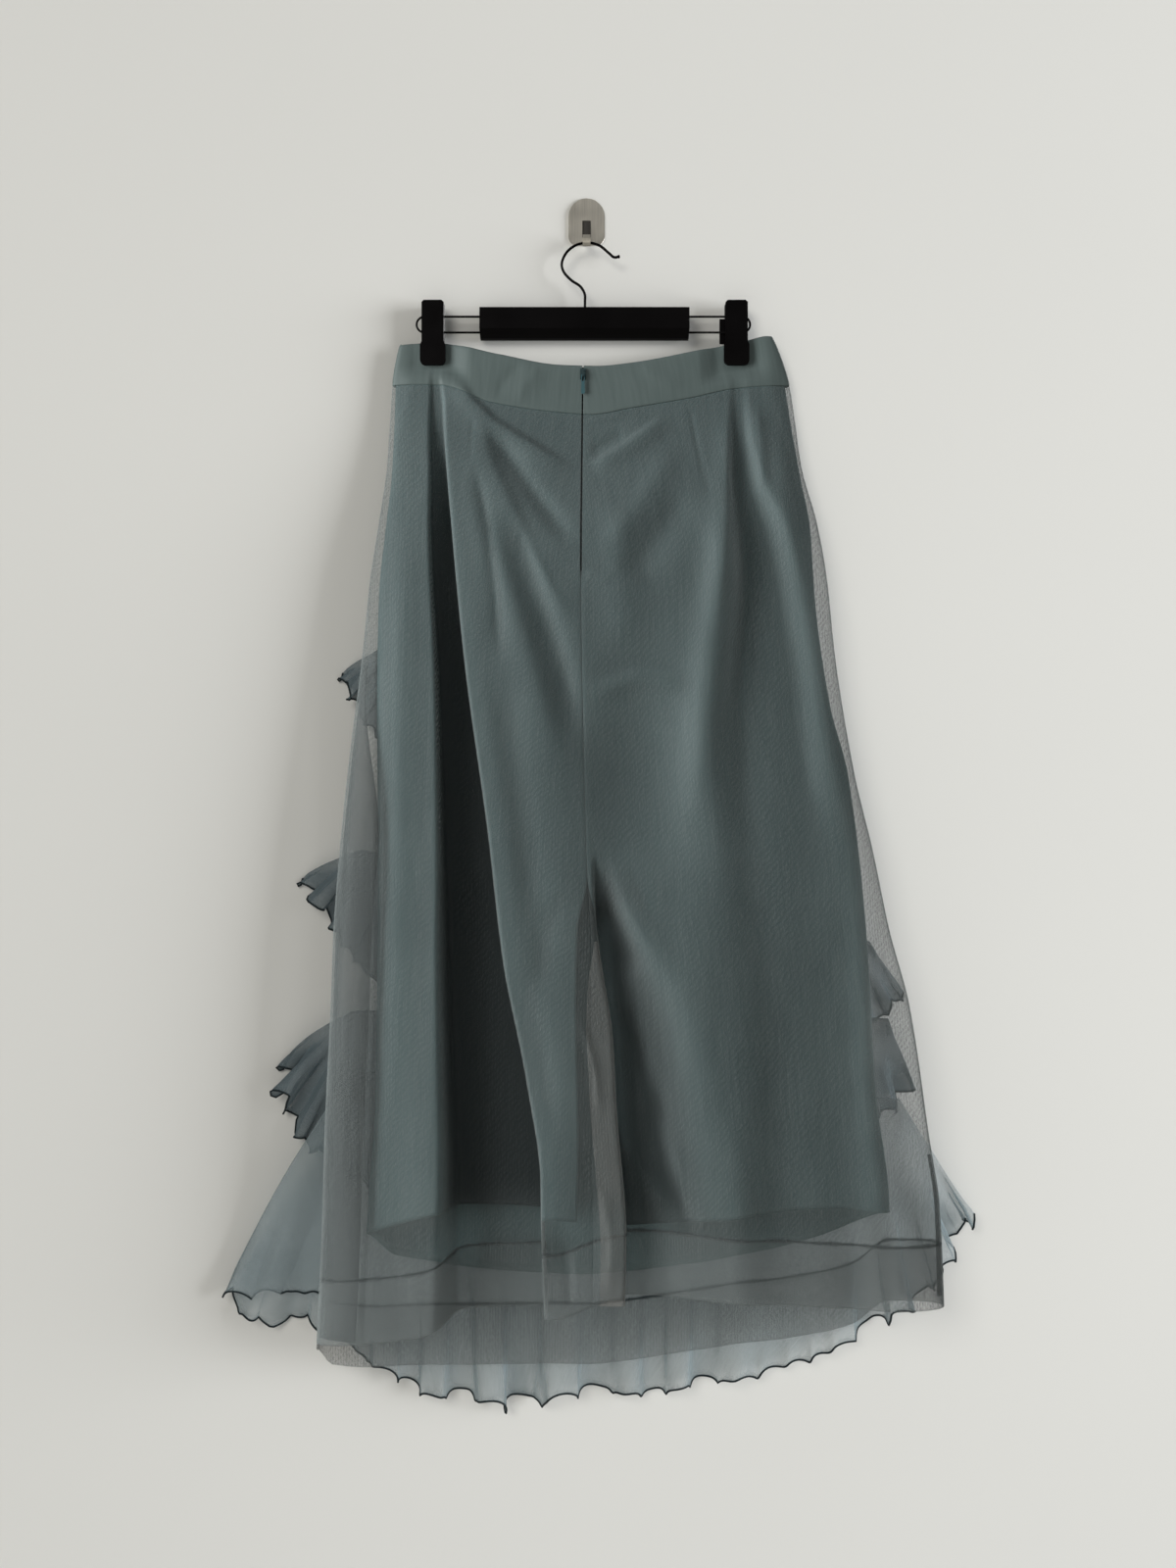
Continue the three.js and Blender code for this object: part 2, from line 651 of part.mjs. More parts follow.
function bandPiece(name, side, columns, across, seams) {
  const { top, bottom } = BAND_EDGES[side];
  const levels = [0, 0.55, 0.78, 1].map((fall) => (x) => mix(top(x), bottom(x), fall));
  const depth = (x, z) => bandDepth(side, x, z);
  const grid = panelGrid({ columns, levels, across, depth });
  return mesh(name, clothWall(grid, () => BAND_CLOTH, seams), LOOKS.band());
}

// The band stands clear of the other side in the middle and is pressed flat in the clips.
function bandDepth(side, x, z) {
  const bend = side === 'front' ? smooth((Math.abs(x) - STRAIGHT.reach) / STRAIGHT.fade) : 1;
  const open = ringDepth(OVERLAY, side, x * bend, Math.max(z, -157));
  const pressed = HANGER_Y + (side === 'back' ? -1.15 : 1.15);
  const nearest = Math.min(Math.abs(x - CLIP_LEFT), Math.abs(x - CLIP_RIGHT));
  const hold = smooth((z - BAND_EDGES[side].bottom(x) - 8) / 8);
  const grip = (1 - smooth((nearest - CLIP.padWidth / 2 - GRIP.reach) / GRIP.fade)) * hold;
  return mix(open, pressed, grip);
}

// ---------------------------------------------------------------- overlay and lining

const OVERLAY_HEMS = { back: edgeLine(OVERLAY_BACK_HEM), front: edgeLine(OVERLAY_FRONT_HEM) };
const LINING_HEMS = { back: edgeLine(LINING_BACK_HEM), front: edgeLine(LINING_FRONT_HEM) };

const overlayThickness = (hem) => (point) => {
  const above = point.z - hem(point.x);
  return mix(HEM_CLOTH, CLOTH, smooth((above - HEM_DEPTH) / 12));
};

// The overlay's rows on one side, closer together towards the waist.
function overlayLevels(side) {
  const hem = OVERLAY_HEMS[side];
  const levels = [];
  for (let row = 0; row <= PANEL_ROWS; row += 1) {
    const fall = (row / PANEL_ROWS) ** 1.1;
    levels.push((x) => mix(BAND_EDGES[side].bottom(x) - 2 * GAP, hem(x), fall));
  }
  return levels;
}

// The lining keeps the overlay's rows, so that the two walls stay parallel, and ends at its hem.
function liningLevels(side) {
  const behindBand = (x) => BAND_EDGES[side].bottom(x) + LINING_OVERLAP;
  return [behindBand, ...overlayLevels(side).slice(1, PANEL_ROWS - 1), LINING_HEMS[side]];
}

function overlayPanel(name, side, columns, across, seams) {
  const levels = overlayLevels(side);
  const depth = (x, z) => ringDepth(OVERLAY, side, x, z);
  const grid = panelGrid({ columns, levels, across, depth });
  if (side === 'front') swingPastSeam(grid);
  return mesh(name, clothWall(grid, overlayThickness(OVERLAY_HEMS[side]), seams), LOOKS.overlay());
}

// At its hem the front swings out past the left side seam.
function swingPastSeam(grid) {
  const swing = 20;
  for (const line of grid) {
    line.forEach((point, column) => {
      const low = smooth((-980 - point.z) / 60);
      const near = Math.sin(Math.PI * clamp(column / 5, 0, 1)) ** 2;
      point.x -= swing * low * near;
    });
  }
}

function liningPanel(name, side, columns, across, seams) {
  const depth = (x, z) => ringDepth(LINING, side, x, z);
  const grid = panelGrid({ columns, levels: liningLevels(side), across, depth });
  return mesh(name, clothWall(grid, () => CLOTH, seams), LOOKS.lining());
}

// ---------------------------------------------------------------- flounces

// A flounce starts flat against the overlay's front and opens into flutes towards its edge,
// where it fans out past both side seams.
function flounce(row) {
  const grid = [];
  for (let step = 0; step <= row.rows; step += 1) {
    const fall = step / row.rows;
    const line = [];
    for (let column = 0; column <= row.columns; column += 1) {
      line.push(flouncePoint(row, column / row.columns, fall));
    }
    grid.push(line);
  }
  return mesh(`flounce_${row.name}`, clothWall(grid, () => CLOTH), LOOKS.flounce());
}

function flouncePoint(row, share, fall) {
  const seamZ = mix(row.seamLeft, row.seamRight, share);
  const side = Math.abs(2 * share - 1);
  const sideDrop = share < 0.5 ? row.dropLeft : row.dropRight;
  const drop = mix(row.dropMiddle, sideDrop, side ** 3);
  const phase = 2 * Math.PI * (row.flutes * share + 0.3 * Math.sin(5 * share));
  const left = OVERLAY.left(seamZ);
  const right = OVERLAY.right(seamZ);
  const reach = share < 0.5 ? -row.reachLeft : row.reachRight;
  const seamX = mix(mix(left, right, 0.035), mix(left, right, 0.965), share);
  const loose = smooth((fall - row.free) / (0.75 - row.free));
  // The long hem flounce fans out evenly, the short ones swell out just below their seams.
  const spread = row.free > 0 ? fall : 1 - (1 - fall) ** 2.2;
  const fan = 0.025 * (right - left) * (share - 0.5) * 2 + reach * side ** 4;
  const sway = 0.35 * row.flute * Math.sin(2 * phase) * loose;
  const x = seamX + fan * spread + sway;
  const z = seamZ - drop * fall - 0.35 * row.flute * Math.cos(phase) * loose * fall;
  const seamY = ringDepth(OVERLAY, 'front', seamX, seamZ) + CLOTH + GAP;
  const alongY = read(RINGS, 'z', z, 'front') + CLOTH + 3 * GAP;
  const against = mix(seamY, alongY, smooth(fall * 4));
  const hanging = -row.wall + row.flute * Math.sin(phase);
  return new THREE.Vector3(x, mix(against, hanging, loose), z);
}

// ---------------------------------------------------------------- the zip

// The tape follows the flat stretches between the rows of the band and the overlay.
function zipTape() {
  const half = ZIP.tapeWidth / 2;
  const under = CLOTH / 2 + BAND_CLOTH / 2 + GAP + 0.2;
  const bottom = ZIP.bottom - 8;
  const levels = overlayLevels('back').map((level) => level(centreBack(-200)));
  const next = levels.findIndex((level) => level < bottom);
  const share = (levels[next - 1] - bottom) / (levels[next - 1] - levels[next]);
  const rows = levels.slice(0, next).map((z) => ({ z, depth: (x) => ringDepth(OVERLAY, 'back', x, z) }));
  const above = rows[rows.length - 1];
  const below = (x) => ringDepth(OVERLAY, 'back', x, levels[next]);
  const top = BAND_EDGES.back.top(centreBack(-140)) - 1;
  rows.unshift({ z: top, depth: (x) => bandDepth('back', x, top) });
  rows.push({ z: bottom, depth: (x) => mix(above.depth(x), below(x), share) });
  const grid = rows.map(({ z, depth }) => {
    const middle = centreBack(z);
    return [-half, 0, half].map((offset) => {
      const x = middle + offset;
      return new THREE.Vector3(x, depth(x) + under, z);
    });
  });
  return mesh('zip_tape', clothWall(grid, () => CLOTH), LOOKS.zip());
}

const SLIDER_X = centreBack(SLIDER.centre);
const SLIDER_BACK = bandDepth('back', SLIDER_X, SLIDER.centre) - BAND_CLOTH / 2 - GAP;
const SLIDER_FACE = SLIDER_BACK - SLIDER.base;
const ARCH_INSIDE = PULL.thickness + 1;
const ARCH_WALL = 1;
const PIVOT_Y = SLIDER_FACE - ARCH_INSIDE / 2;
const PIVOT_Z = SLIDER.centre - SLIDER.archReach / 2 + ARCH_WALL + GAP + PULL.bar / 2;

function zipSlider() {
  const half = SLIDER.width / 2;
  const base = slab(
    rectangle(
      SLIDER_X - half,
      SLIDER_X + half,
      SLIDER.centre - SLIDER.height / 2,
      SLIDER.centre + SLIDER.height / 2,
    ),
    SLIDER_FACE,
    SLIDER_BACK,
  );
  const top = SLIDER.centre + SLIDER.archReach / 2;
  const bottom = SLIDER.centre - SLIDER.archReach / 2;
  const inside = SLIDER_FACE - ARCH_INSIDE;
  const outline = rectangle(inside - ARCH_WALL, SLIDER_FACE + SLIDER.base / 2, bottom, top);
  outline.holes.push(rectangle(inside, SLIDER_FACE, bottom + ARCH_WALL, top - ARCH_WALL));
  const arch = barAlongX(outline, SLIDER_X - SLIDER.arch / 2, SLIDER_X + SLIDER.arch / 2);
  return mesh('zip_slider', join(base, arch), LOOKS.zip());
}

// A tab with an eye at its top, hanging from the slider's arch by the bar above the eye.
function zipPull() {
  const top = PIVOT_Z + PULL.bar / 2;
  const half = PULL.width / 2;
  const bottom = top - PULL.length;
  const outline = new THREE.Shape();
  outline.moveTo(SLIDER_X - half + 0.8, top);
  outline.lineTo(SLIDER_X - half, top - 0.8);
  outline.lineTo(SLIDER_X - half + 0.4, top - PULL.length / 2);
  outline.lineTo(SLIDER_X - half, bottom + half);
  outline.absarc(SLIDER_X, bottom + half, half, Math.PI, Math.PI * 2, false);
  outline.lineTo(SLIDER_X + half - 0.4, top - PULL.length / 2);
  outline.lineTo(SLIDER_X + half, top - 0.8);
  outline.lineTo(SLIDER_X + half - 0.8, top);
  outline.closePath();
  const eyeTop = top - PULL.bar;
  const eyeHalf = PULL.eye / 2;
  outline.holes.push(
    rectangle(SLIDER_X - eyeHalf, SLIDER_X + eyeHalf, eyeTop - PULL.eyeLength, eyeTop),
  );
  const halfThickness = PULL.thickness / 2;
  return mesh('zip_pull', slab(outline, PIVOT_Y - halfThickness, PIVOT_Y + halfThickness), LOOKS.pull());
}

// ---------------------------------------------------------------- the whole object

const skirt = new THREE.Group();
skirt.add(
  bandPiece('band_front', 'front', FRONT_BAND_COLUMNS, ACROSS.front, SEAMS.frontBand),
  bandPiece('band_back_left', 'back', HALF_COLUMNS, ACROSS.left, SEAMS.left),
  bandPiece('band_back_right', 'back', HALF_COLUMNS, ACROSS.right, SEAMS.right),
  overlayPanel('overlay_front', 'front', FRONT_COLUMNS, ACROSS.front, SEAMS.front),
  overlayPanel('overlay_back_left', 'back', HALF_COLUMNS, ACROSS.left, SEAMS.left),
  overlayPanel('overlay_back_right', 'back', HALF_COLUMNS, ACROSS.right, SEAMS.right),
  liningPanel('lining_front', 'front', FRONT_COLUMNS, ACROSS.frontLining, SEAMS.front),
  liningPanel('lining_back_left', 'back', HALF_COLUMNS, ACROSS.leftLining, SEAMS.left),
  liningPanel('lining_back_right', 'back', HALF_COLUMNS, ACROSS.rightLining, SEAMS.right),
  ...FLOUNCES.map(flounce),
  zipTape(),
  zipSlider(),
  zipPull(),
);

const hanger = new THREE.Group();
hanger.add(
  wallPlate(),
  hangerHook(),
  hangerBar(),
  frameWire('hanger_wire_left', FRAME_LEFT, -1),
  frameWire('hanger_wire_right', FRAME_RIGHT, 1),
  clipJaw('clip_left_front', CLIP_LEFT, -1),
  clipJaw('clip_left_back', CLIP_LEFT, 1),
  clipJaw('clip_right_front', CLIP_RIGHT, -1),
  clipJaw('clip_right_back', CLIP_RIGHT, 1, HOUSING.reach),
);

const whole = new THREE.Group();
whole.add(skirt, hanger);
whole.position.z = -(PLATE.height - PLATE.width) / 2;

export default whole;
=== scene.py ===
"""The looks of a sheer-over-lining midi skirt that hangs, back side out, from a clip hanger.

Shapes are worked out in millimetres, with heights counted from the centre of the wall plate, as
the frame's solids are; put() turns them into metres in the frame. The back of the skirt faces -Y,
its front faces the wall at y = 0, and +Z is up.
"""

import math
from functools import partial

import bmesh
import bpy
import numpy as np
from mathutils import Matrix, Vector


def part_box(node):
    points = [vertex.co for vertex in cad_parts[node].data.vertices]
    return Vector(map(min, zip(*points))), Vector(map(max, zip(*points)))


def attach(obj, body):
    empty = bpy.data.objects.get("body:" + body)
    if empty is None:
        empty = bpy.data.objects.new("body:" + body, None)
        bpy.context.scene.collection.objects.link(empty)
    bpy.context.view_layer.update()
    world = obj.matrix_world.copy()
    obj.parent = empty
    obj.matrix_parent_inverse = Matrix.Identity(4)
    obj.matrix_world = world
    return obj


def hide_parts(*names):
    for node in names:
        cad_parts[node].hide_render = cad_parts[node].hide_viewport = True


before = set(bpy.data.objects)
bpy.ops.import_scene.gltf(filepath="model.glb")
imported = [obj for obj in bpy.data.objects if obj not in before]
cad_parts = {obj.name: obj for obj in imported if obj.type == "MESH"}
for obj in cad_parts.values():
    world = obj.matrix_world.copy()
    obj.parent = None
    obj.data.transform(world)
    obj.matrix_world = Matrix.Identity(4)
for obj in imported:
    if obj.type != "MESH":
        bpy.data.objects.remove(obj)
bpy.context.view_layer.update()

MM = 0.001
PLATE_HALF_HEIGHT = 22
PLATE_CENTRE = np.array([0, 0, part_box("wall_plate")[1].z / MM - PLATE_HALF_HEIGHT])
BODY = "skirt"


def put(points):
    """Millimetres from the plate's centre to metres in the frame."""
    return (np.asarray(points, float) + PLATE_CENTRE) * MM


# ---------------- sizes

GAP = 0.3  # between pieces that are sewn together
SHEER = 0.45  # thickness of the overlay's and the flounces' cloth
SATIN = 0.6
BAND_CLOTH = 1.6
BAND_FLUSH = 0.5  # the band's middle lies this much further in than the cloth below it
HEM_DEPTH = 55
HEM_SPACE = 1.2  # between the overlay and its turned-up hem
RING_ROUNDNESS = 2.5

HANGER_Y = -14
JAW_GRIP = 1.15  # from the hanger's plane to the middle of the band in the clips
GRIP_EASE = 22  # beside a clip the band opens over this much of its width
FRONT_STRAIGHT = 99  # the front band runs straight this far to each side
CLIP_PLACES = (-142.6, 139)
CLIP_PAD = 23.4
ZIP_TOP, ZIP_BOTTOM = -142, -336
ZIP_SLIT = 1.3
FRONT_CLEARANCE = 6  # between the deepest folds of the back and the front lining's form
FRONT_SWELL = 2.5  # the most that creases bring the front out towards the wall


def table(names, rows):
    """Rows of numbers as named columns."""
    return dict(zip(names.split(), np.array(rows, float).T))


# Rings of the sheer overlay: its side seams, and how far out its back and front middles stand.
RINGS = table("z left right back front", [
    (-112, -170, 172, -21, -8),
    (-123, -174, 177, -21, -8),
    (-157, -180, 188, -21, -8),
    (-190, -182, 193, -25, -8),
    (-233, -184, 198, -35, -9),
    (-290, -191, 212, -47, -11),
    (-340, -198, 220, -54, -12),
    (-405, -204, 226, -60, -14),
    (-516, -217, 243, -67, -17),
    (-590, -224, 260, -71, -19),
    (-660, -229, 274, -75, -21),
    (-725, -231, 291, -78, -23),
    (-850, -236, 309, -84, -27),
    (-905, -237, 317, -87, -29),
    (-1060, -243, 322, -94, -33),
])
LINING_RINGS = table("z left right inset", [
    (-150, -177, 183, 0.9),
    (-200, -178, 190, 1.2),
    (-250, -180, 198, 2),
    (-290, -184, 205, 3),
    (-360, -190, 209, 6),
    (-457, -191, 222, 6),
    (-516, -190, 237, 6),
    (-660, -189, 253, 6),
    (-810, -190, 261, 6),
    (-890, -195, 271, 6),
    (-975, -200, 274, 6),
])

# Edges that run across the skirt, as places (x, z) along them.
EDGES_ACROSS = {
    "band_top": [
        (-180, -121), (-143, -118), (-81, -130), (-25, -140), (10, -141),
        (41, -138), (95, -128), (148, -116), (168, -112), (190, -112),
    ],
    "band_bottom": [
        (-182, -158), (-140, -158), (-86, -175), (-25, -184), (5, -186),
        (41, -180), (94, -171), (143, -161), (190, -158),
    ],
    "overlay_back": [
        (-246, -1028), (-150, -1015), (-105, -1000), (-25, -997), (0, -988),
        (30, -980), (130, -985), (255, -993), (322, -995),
    ],
    "overlay_front": [
        (-246, -1028), (-228, -1052), (-165, -1058), (0, -1058), (122, -1042),
        (194, -1032), (243, -1020), (275, -997), (322, -995),
    ],
    "lining_back": [
        (-200, -930), (-120, -909), (-9, -915), (28, -922), (214, -907), (274, -912),
    ],
    "lining_front": [
        (-200, -930), (-170, -956), (0, -975), (100, -965), (200, -943), (274, -912),
    ],
}
BAND_FRONT = dict(centre=4, half_width=186, top=-117, top_sag=23, bottom=-158, bottom_sag=28)

# Centre back: the seam, and the edges of the lining's slit to each side of it.
CENTRE_BACK = table("z x", [(-112, -3), (-336, -5), (-600, 0), (-740, 4), (-1030, 6)])
LINING_EDGES = table("z left right", [
    (-150, -1, 1),
    (-330, -1, 1),
    (-345, -0.15, 0.15),
    (-610, -0.15, 0.15),
    (-660, -10, 7),
    (-740, -13, 15),
    (-835, -12, 20),
    (-930, -14, 24),
])

# Deep folds of the back: centre line, flat floor, the slope on each side, depth, and how far
# the lip of the fold leans over it.
LEFT_VALLEY = table("z x floor left right depth lean", [
    (-152, -140, 3, 2.5, 3, 1, 0),
    (-170, -139, 4, 2.5, 3.5, 7, 0),
    (-200, -138, 5.5, 2.5, 4, 14, 2),
    (-240, -135, 7, 2.5, 4.5, 24, 4),
    (-300, -131, 10, 3, 5.5, 33, 6),
    (-420, -120, 13, 5, 6, 40, 8),
    (-565, -106, 20, 9, 6.5, 44, 9),
    (-690, -95, 24, 16, 7, 46, 9),
    (-790, -82, 30, 22, 8, 46, 9),
    (-880, -73, 34, 26, 8, 46, 9),
    (-1030, -72, 34, 30, 9, 44, 6),
])
RIGHT_VALLEY = table("z x floor left right depth lean", [
    (-158, 140, 2, 6, 8, 1, 0),
    (-202, 141, 3, 9, 10, 5, 0),
    (-246, 144, 4, 13, 16, 10, 0),
    (-300, 153, 9, 16, 26, 12, 0),
    (-352, 160, 14, 18, 27, 13, 0),
    (-420, 163, 19, 26, 32, 12, 0),
    (-520, 170, 24, 36, 36, 10, 0),
    (-600, 182, 28, 40, 42, 8, 0),
    (-760, 200, 30, 42, 42, 8, 0),
    (-1030, 202, 30, 44, 44, 8, 0),
])
CENTRE_VALLEY = table("z x floor left right depth lean", [
    (-590, 8, 0, 4, 14, 0, 0),
    (-640, 11, 3, 4, 26, 10, -2),
    (-704, 21, 7, 4, 54, 15, -5),
    (-748, 27, 7, 4, 68, 17, -6),
    (-818, 32, 8, 4, 80, 18, -6),
    (-897, 40, 9, 4, 88, 18, -6),
    (-941, 44, 10, 5, 90, 17, -5),
    (-1030, 44, 10, 6, 90, 13, -4),
])

# ---------------- small helpers


def mix(a, b, share):
    return a + (b - a) * share


def smooth(share):
    t = np.clip(share, 0, 1)
    return t * t * (3 - 2 * t)


def bump(distance, width):
    return np.exp(-(distance / width) ** 2)


def running_total(steps, axis=0):
    """Distances travelled, from 0 before the first step."""
    total = np.cumsum(steps, axis=axis)
    return np.concatenate([0 * np.take(total, [0], axis), total], axis=axis)


def smooth_curve(places, values):
    """A curve through the points of two columns that never overshoots them."""
    order = np.argsort(places)
    x, y = places[order], values[order]
    step = np.diff(x)
    slope = np.diff(y) / step
    tangent = np.concatenate(([slope[0]], np.zeros(len(x) - 2), [slope[-1]]))
    for i in range(1, len(x) - 1):
        before, after = slope[i - 1], slope[i]
        if before * after > 0:
            a, b = 2 * step[i] + step[i - 1], step[i] + 2 * step[i - 1]
            tangent[i] = (a + b) / (a / before + b / after)

    def read(place):
        place = np.clip(place, x[0], x[-1])
        i = np.clip(np.searchsorted(x, place, side="right") - 1, 0, len(step) - 1)
        t = (place - x[i]) / step[i]
        start = (1 + 2 * t) * (1 - t) ** 2 * y[i] + t * (1 - t) ** 2 * step[i] * tangent[i]
        end = t * t * (3 - 2 * t) * y[i + 1] + t * t * (t - 1) * step[i] * tangent[i + 1]
        return start + end

    return read


def curves(columns, key="z"):
    """One smooth curve for each column of a table, along its key column."""
    return {name: smooth_curve(columns[key], values) for name, values in columns.items()}


ring = curves(RINGS)
lining_ring = curves(LINING_RINGS)
lining_edge = curves(LINING_EDGES)
centre_back = smooth_curve(CENTRE_BACK["z"], CENTRE_BACK["x"])
left_valley, right_valley, centre_valley = (
    curves(valley) for valley in (LEFT_VALLEY, RIGHT_VALLEY, CENTRE_VALLEY)
)
valleys = (left_valley, right_valley, centre_valley)
level_across = {
    name: smooth_curve(*np.array(places, float).T) for name, places in EDGES_ACROSS.items()
}


def band_line(edge, side, x):
    """The height of the band's top or bottom edge."""
    if side == "back":
        return level_across[f"band_{edge}"](x)
    out = (x - BAND_FRONT["centre"]) / BAND_FRONT["half_width"]
    return BAND_FRONT[edge] - BAND_FRONT[f"{edge}_sag"] * (1 - out**2)


# ---------------- creases

# Each crease: its height, out above 0 and in below it, its width to the left and to the right of
# its direction of travel, and places (x, z) along it.
BACK_CREASES = [
    # from the left clip, across the band, to the zip
    (3.6, 3.6, 12, [(-132, -145), (-105, -176), (-87, -194), (-52, -216), (-10, -243)]),
    (-3.4, 9, 9, [(-90, -199), (-47, -264), (-8, -318)]),
    (3, 7, 14, [(-108, -176), (-88, -238), (-52, -316), (-34, -352), (-5, -398)]),
    (-5, 11, 14, [(-74, -268), (-48, -350), (-25, -422), (-4, -506)]),
    (2.8, 12, 16, [(-113, -202), (-94, -290), (-63, -380), (-38, -470), (-16, -556)]),
    (-3.4, 6, 7, [(-104, -230), (-90, -296), (-82, -360), (-78, -430)]),
    (-2.6, 12, 12, [(-80, -420), (-58, -560), (-44, -690)]),
    (1.4, 6, 6, [(-154, -128), (-168, -142), (-176, -156)]),
    (-1.2, 5, 5, [(-60, -138), (-78, -158), (-84, -172)]),
    (1.3, 6, 6, [(-42, -142), (-58, -160), (-64, -176)]),
    (1.2, 5, 5, [(48, -140), (66, -152), (92, -160)]),
    # from the zip up to the right
    (3, 3.4, 11, [(1, -238), (36, -216), (76, -187)]),
    (-1.6, 6, 6, [(1, -224), (38, -201)]),
    (0.9, 3, 3, [(0, -191), (36, -187)]),
    (2.4, 16, 16, [(22, -254), (28, -334), (34, -424)]),
    (2.4, 11, 12, [(16, -316), (50, -270), (84, -214)]),
    (-3.4, 14, 16, [(34, -346), (62, -306), (96, -256)]),
    (1.2, 4, 4, [(-2, -337), (13, -343), (24, -345)]),
    # the light fold across, below it a broad hollow, and the columns beside it
    (2.6, 8, 8, [(2, -446), (46, -431), (96, -440)]),
    (-15, 46, 64, [(34, -330), (50, -520), (54, -700)]),
    (7, 15, 15, [(124, -250), (121, -330), (111, -410), (104, -470), (98, -580)]),
    (2.6, 5, 11, [(134, -170), (128, -246), (123, -326), (116, -400)]),
    (2.2, 6, 7, [(156, -172), (161, -220), (159, -274)]),
    (2.2, 12, 12, [(176, -190), (184, -318), (190, -420)]),
    (1.6, 16, 16, [(206, -430), (216, -560), (226, -700)]),
    (-2, 16, 18, [(206, -640), (214, -780), (222, -930)]),
    # the folds that run down to the right from the slit
    (-4.4, 9, 13, [(9, -632), (30, -664), (48, -700)]),
    (2, 6, 7, [(17, -700), (38, -752), (58, -796)]),
    (-4.6, 7, 8, [(29, -716), (51, -780), (78, -850)]),
    (2.2, 7, 10, [(48, -760), (66, -830), (92, -900)]),
    (-4.4, 8, 9, [(56, -800), (72, -870), (100, -940)]),
    (1.8, 5, 8, [(38, -850), (54, -880), (74, -908)]),
    (3, 26, 30, [(96, -620), (108, -740), (118, -980)]),
    # the panel to the left of the slit, and the sheer cloth over it
    (-1.4, 8, 9, [(-24, -622), (-40, -664), (-42, -716)]),
    (-2.8, 12, 12, [(-64, -690), (-46, -770), (-30, -850)]),
    (1.7, 3, 4, [(-8, -728), (2, -758), (8, -784), (12, -830)]),
    (2.2, 5, 5, [(14, -880), (22, -936), (18, -984)]),
    (-2.4, 5, 6, [(-18, -930), (-14, -992)]),
    (3, 7, 8, [(-32, -900), (-36, -996)]),
    # the left column
    (2, 14, 12, [(-166, -250), (-170, -560), (-172, -880)]),
    (-1.6, 8, 8, [(-186, -330), (-192, -600), (-196, -900)]),
    (1.4, 7, 7, [(-208, -480), (-216, -700), (-222, -940)]),
]
# The right dart, and the faint one on the left.
DARTS = [
    (-0.9, 1.4, 1.6, [(94, -172), (101, -214), (111, -262), (113, -278)]),
    (-0.6, 1.3, 1.3, [(-105, -184), (-108, -240)]),
]
FRONT_CREASES = [
    (2.4, 14, 12, [(-118, -176), (-96, -250), (-80, -340)]),
    (2, 16, 14, [(-150, -186), (-162, -300), (-170, -430)]),
    (2.6, 12, 14, [(120, -176), (104, -260), (92, -380)]),
    (-2, 18, 16, [(60, -214), (30, -330), (22, -440)]),
    (2, 14, 18, [(160, -200), (172, -330), (180, -480)]),
    (-1.6, 14, 12, [(-40, -230), (-52, -350)]),
]


WIDE_CREASE = 40  # wider ones rise and fall more slowly
CRISP_CREASE = 8  # narrower ones have a sharper top


def crease_depth(creases, x, z):
    """How far the creases lift the cloth outwards at each place."""
    total = np.zeros(np.shape(x))
    for height, width_left, width_right, places in creases:
        line = np.array(places, float)
        lengths = np.linalg.norm(np.diff(line, axis=0), axis=1)
        starts = running_total(lengths)
        nearest = np.full(np.shape(x), np.inf)
        side = np.zeros(np.shape(x))
        along = np.zeros(np.shape(x))
        for i, length in enumerate(lengths):
            ahead = (line[i + 1] - line[i]) / length
            away_x, away_z = x - line[i, 0], z - line[i, 1]
            run = np.clip(away_x * ahead[0] + away_z * ahead[1], 0, length)
            distance = np.hypot(away_x - run * ahead[0], away_z - run * ahead[1])
            closer = distance < nearest
            nearest = np.where(closer, distance, nearest)
            side = np.where(closer, ahead[0] * away_z - ahead[1] * away_x, side)
            along = np.where(closer, starts[i] + run, along)
        share = along / starts[-1]
        widest = max(width_left, width_right)
        rise, fall = (0.22, 0.3) if widest < WIDE_CREASE else (0.5, 0.5)
        taper = smooth(share / rise) * smooth((1 - share) / fall)
        blend = smooth(side / (width_left + width_right) + 0.5)
        width = mix(width_right, width_left, blend)
        crisp = 1.4 if widest < CRISP_CREASE else 2
        total += height * np.exp(-((nearest / width) ** crisp)) * taper
    return total


# ---------------- the skirt's form

OVERLAY = dict(left=ring["left"], right=ring["right"], inset=lambda z: 0 * z)
LINING = dict(left=lining_ring["left"], right=lining_ring["right"], inset=lining_ring["inset"])


def valley_depth(valley, x, z):
    """Depth of one fold: full on its floor, easing out over the slope on each side."""
    offset = x - valley["x"](z)
    slope = np.where(offset < 0, valley["left"](z), valley["right"](z))
    out = (np.abs(offset) - valley["floor"](z)) / slope
    return valley["depth"](z) * (1 - smooth(out))


def lip_shift(x, z):
    """How far the lips of the folds lean over them, along X."""
    total = np.zeros(np.shape(x))
    for valley in valleys:
        lean = valley["lean"](z)
        edge = valley["floor"](z) + np.where(lean > 0, valley["right"](z), valley["left"](z))
        lip = valley["x"](z) + np.sign(lean) * edge
        width = 3.5 + 0.1 * np.abs(lean)
        total = total - lean * bump(x - lip, width)
    return total


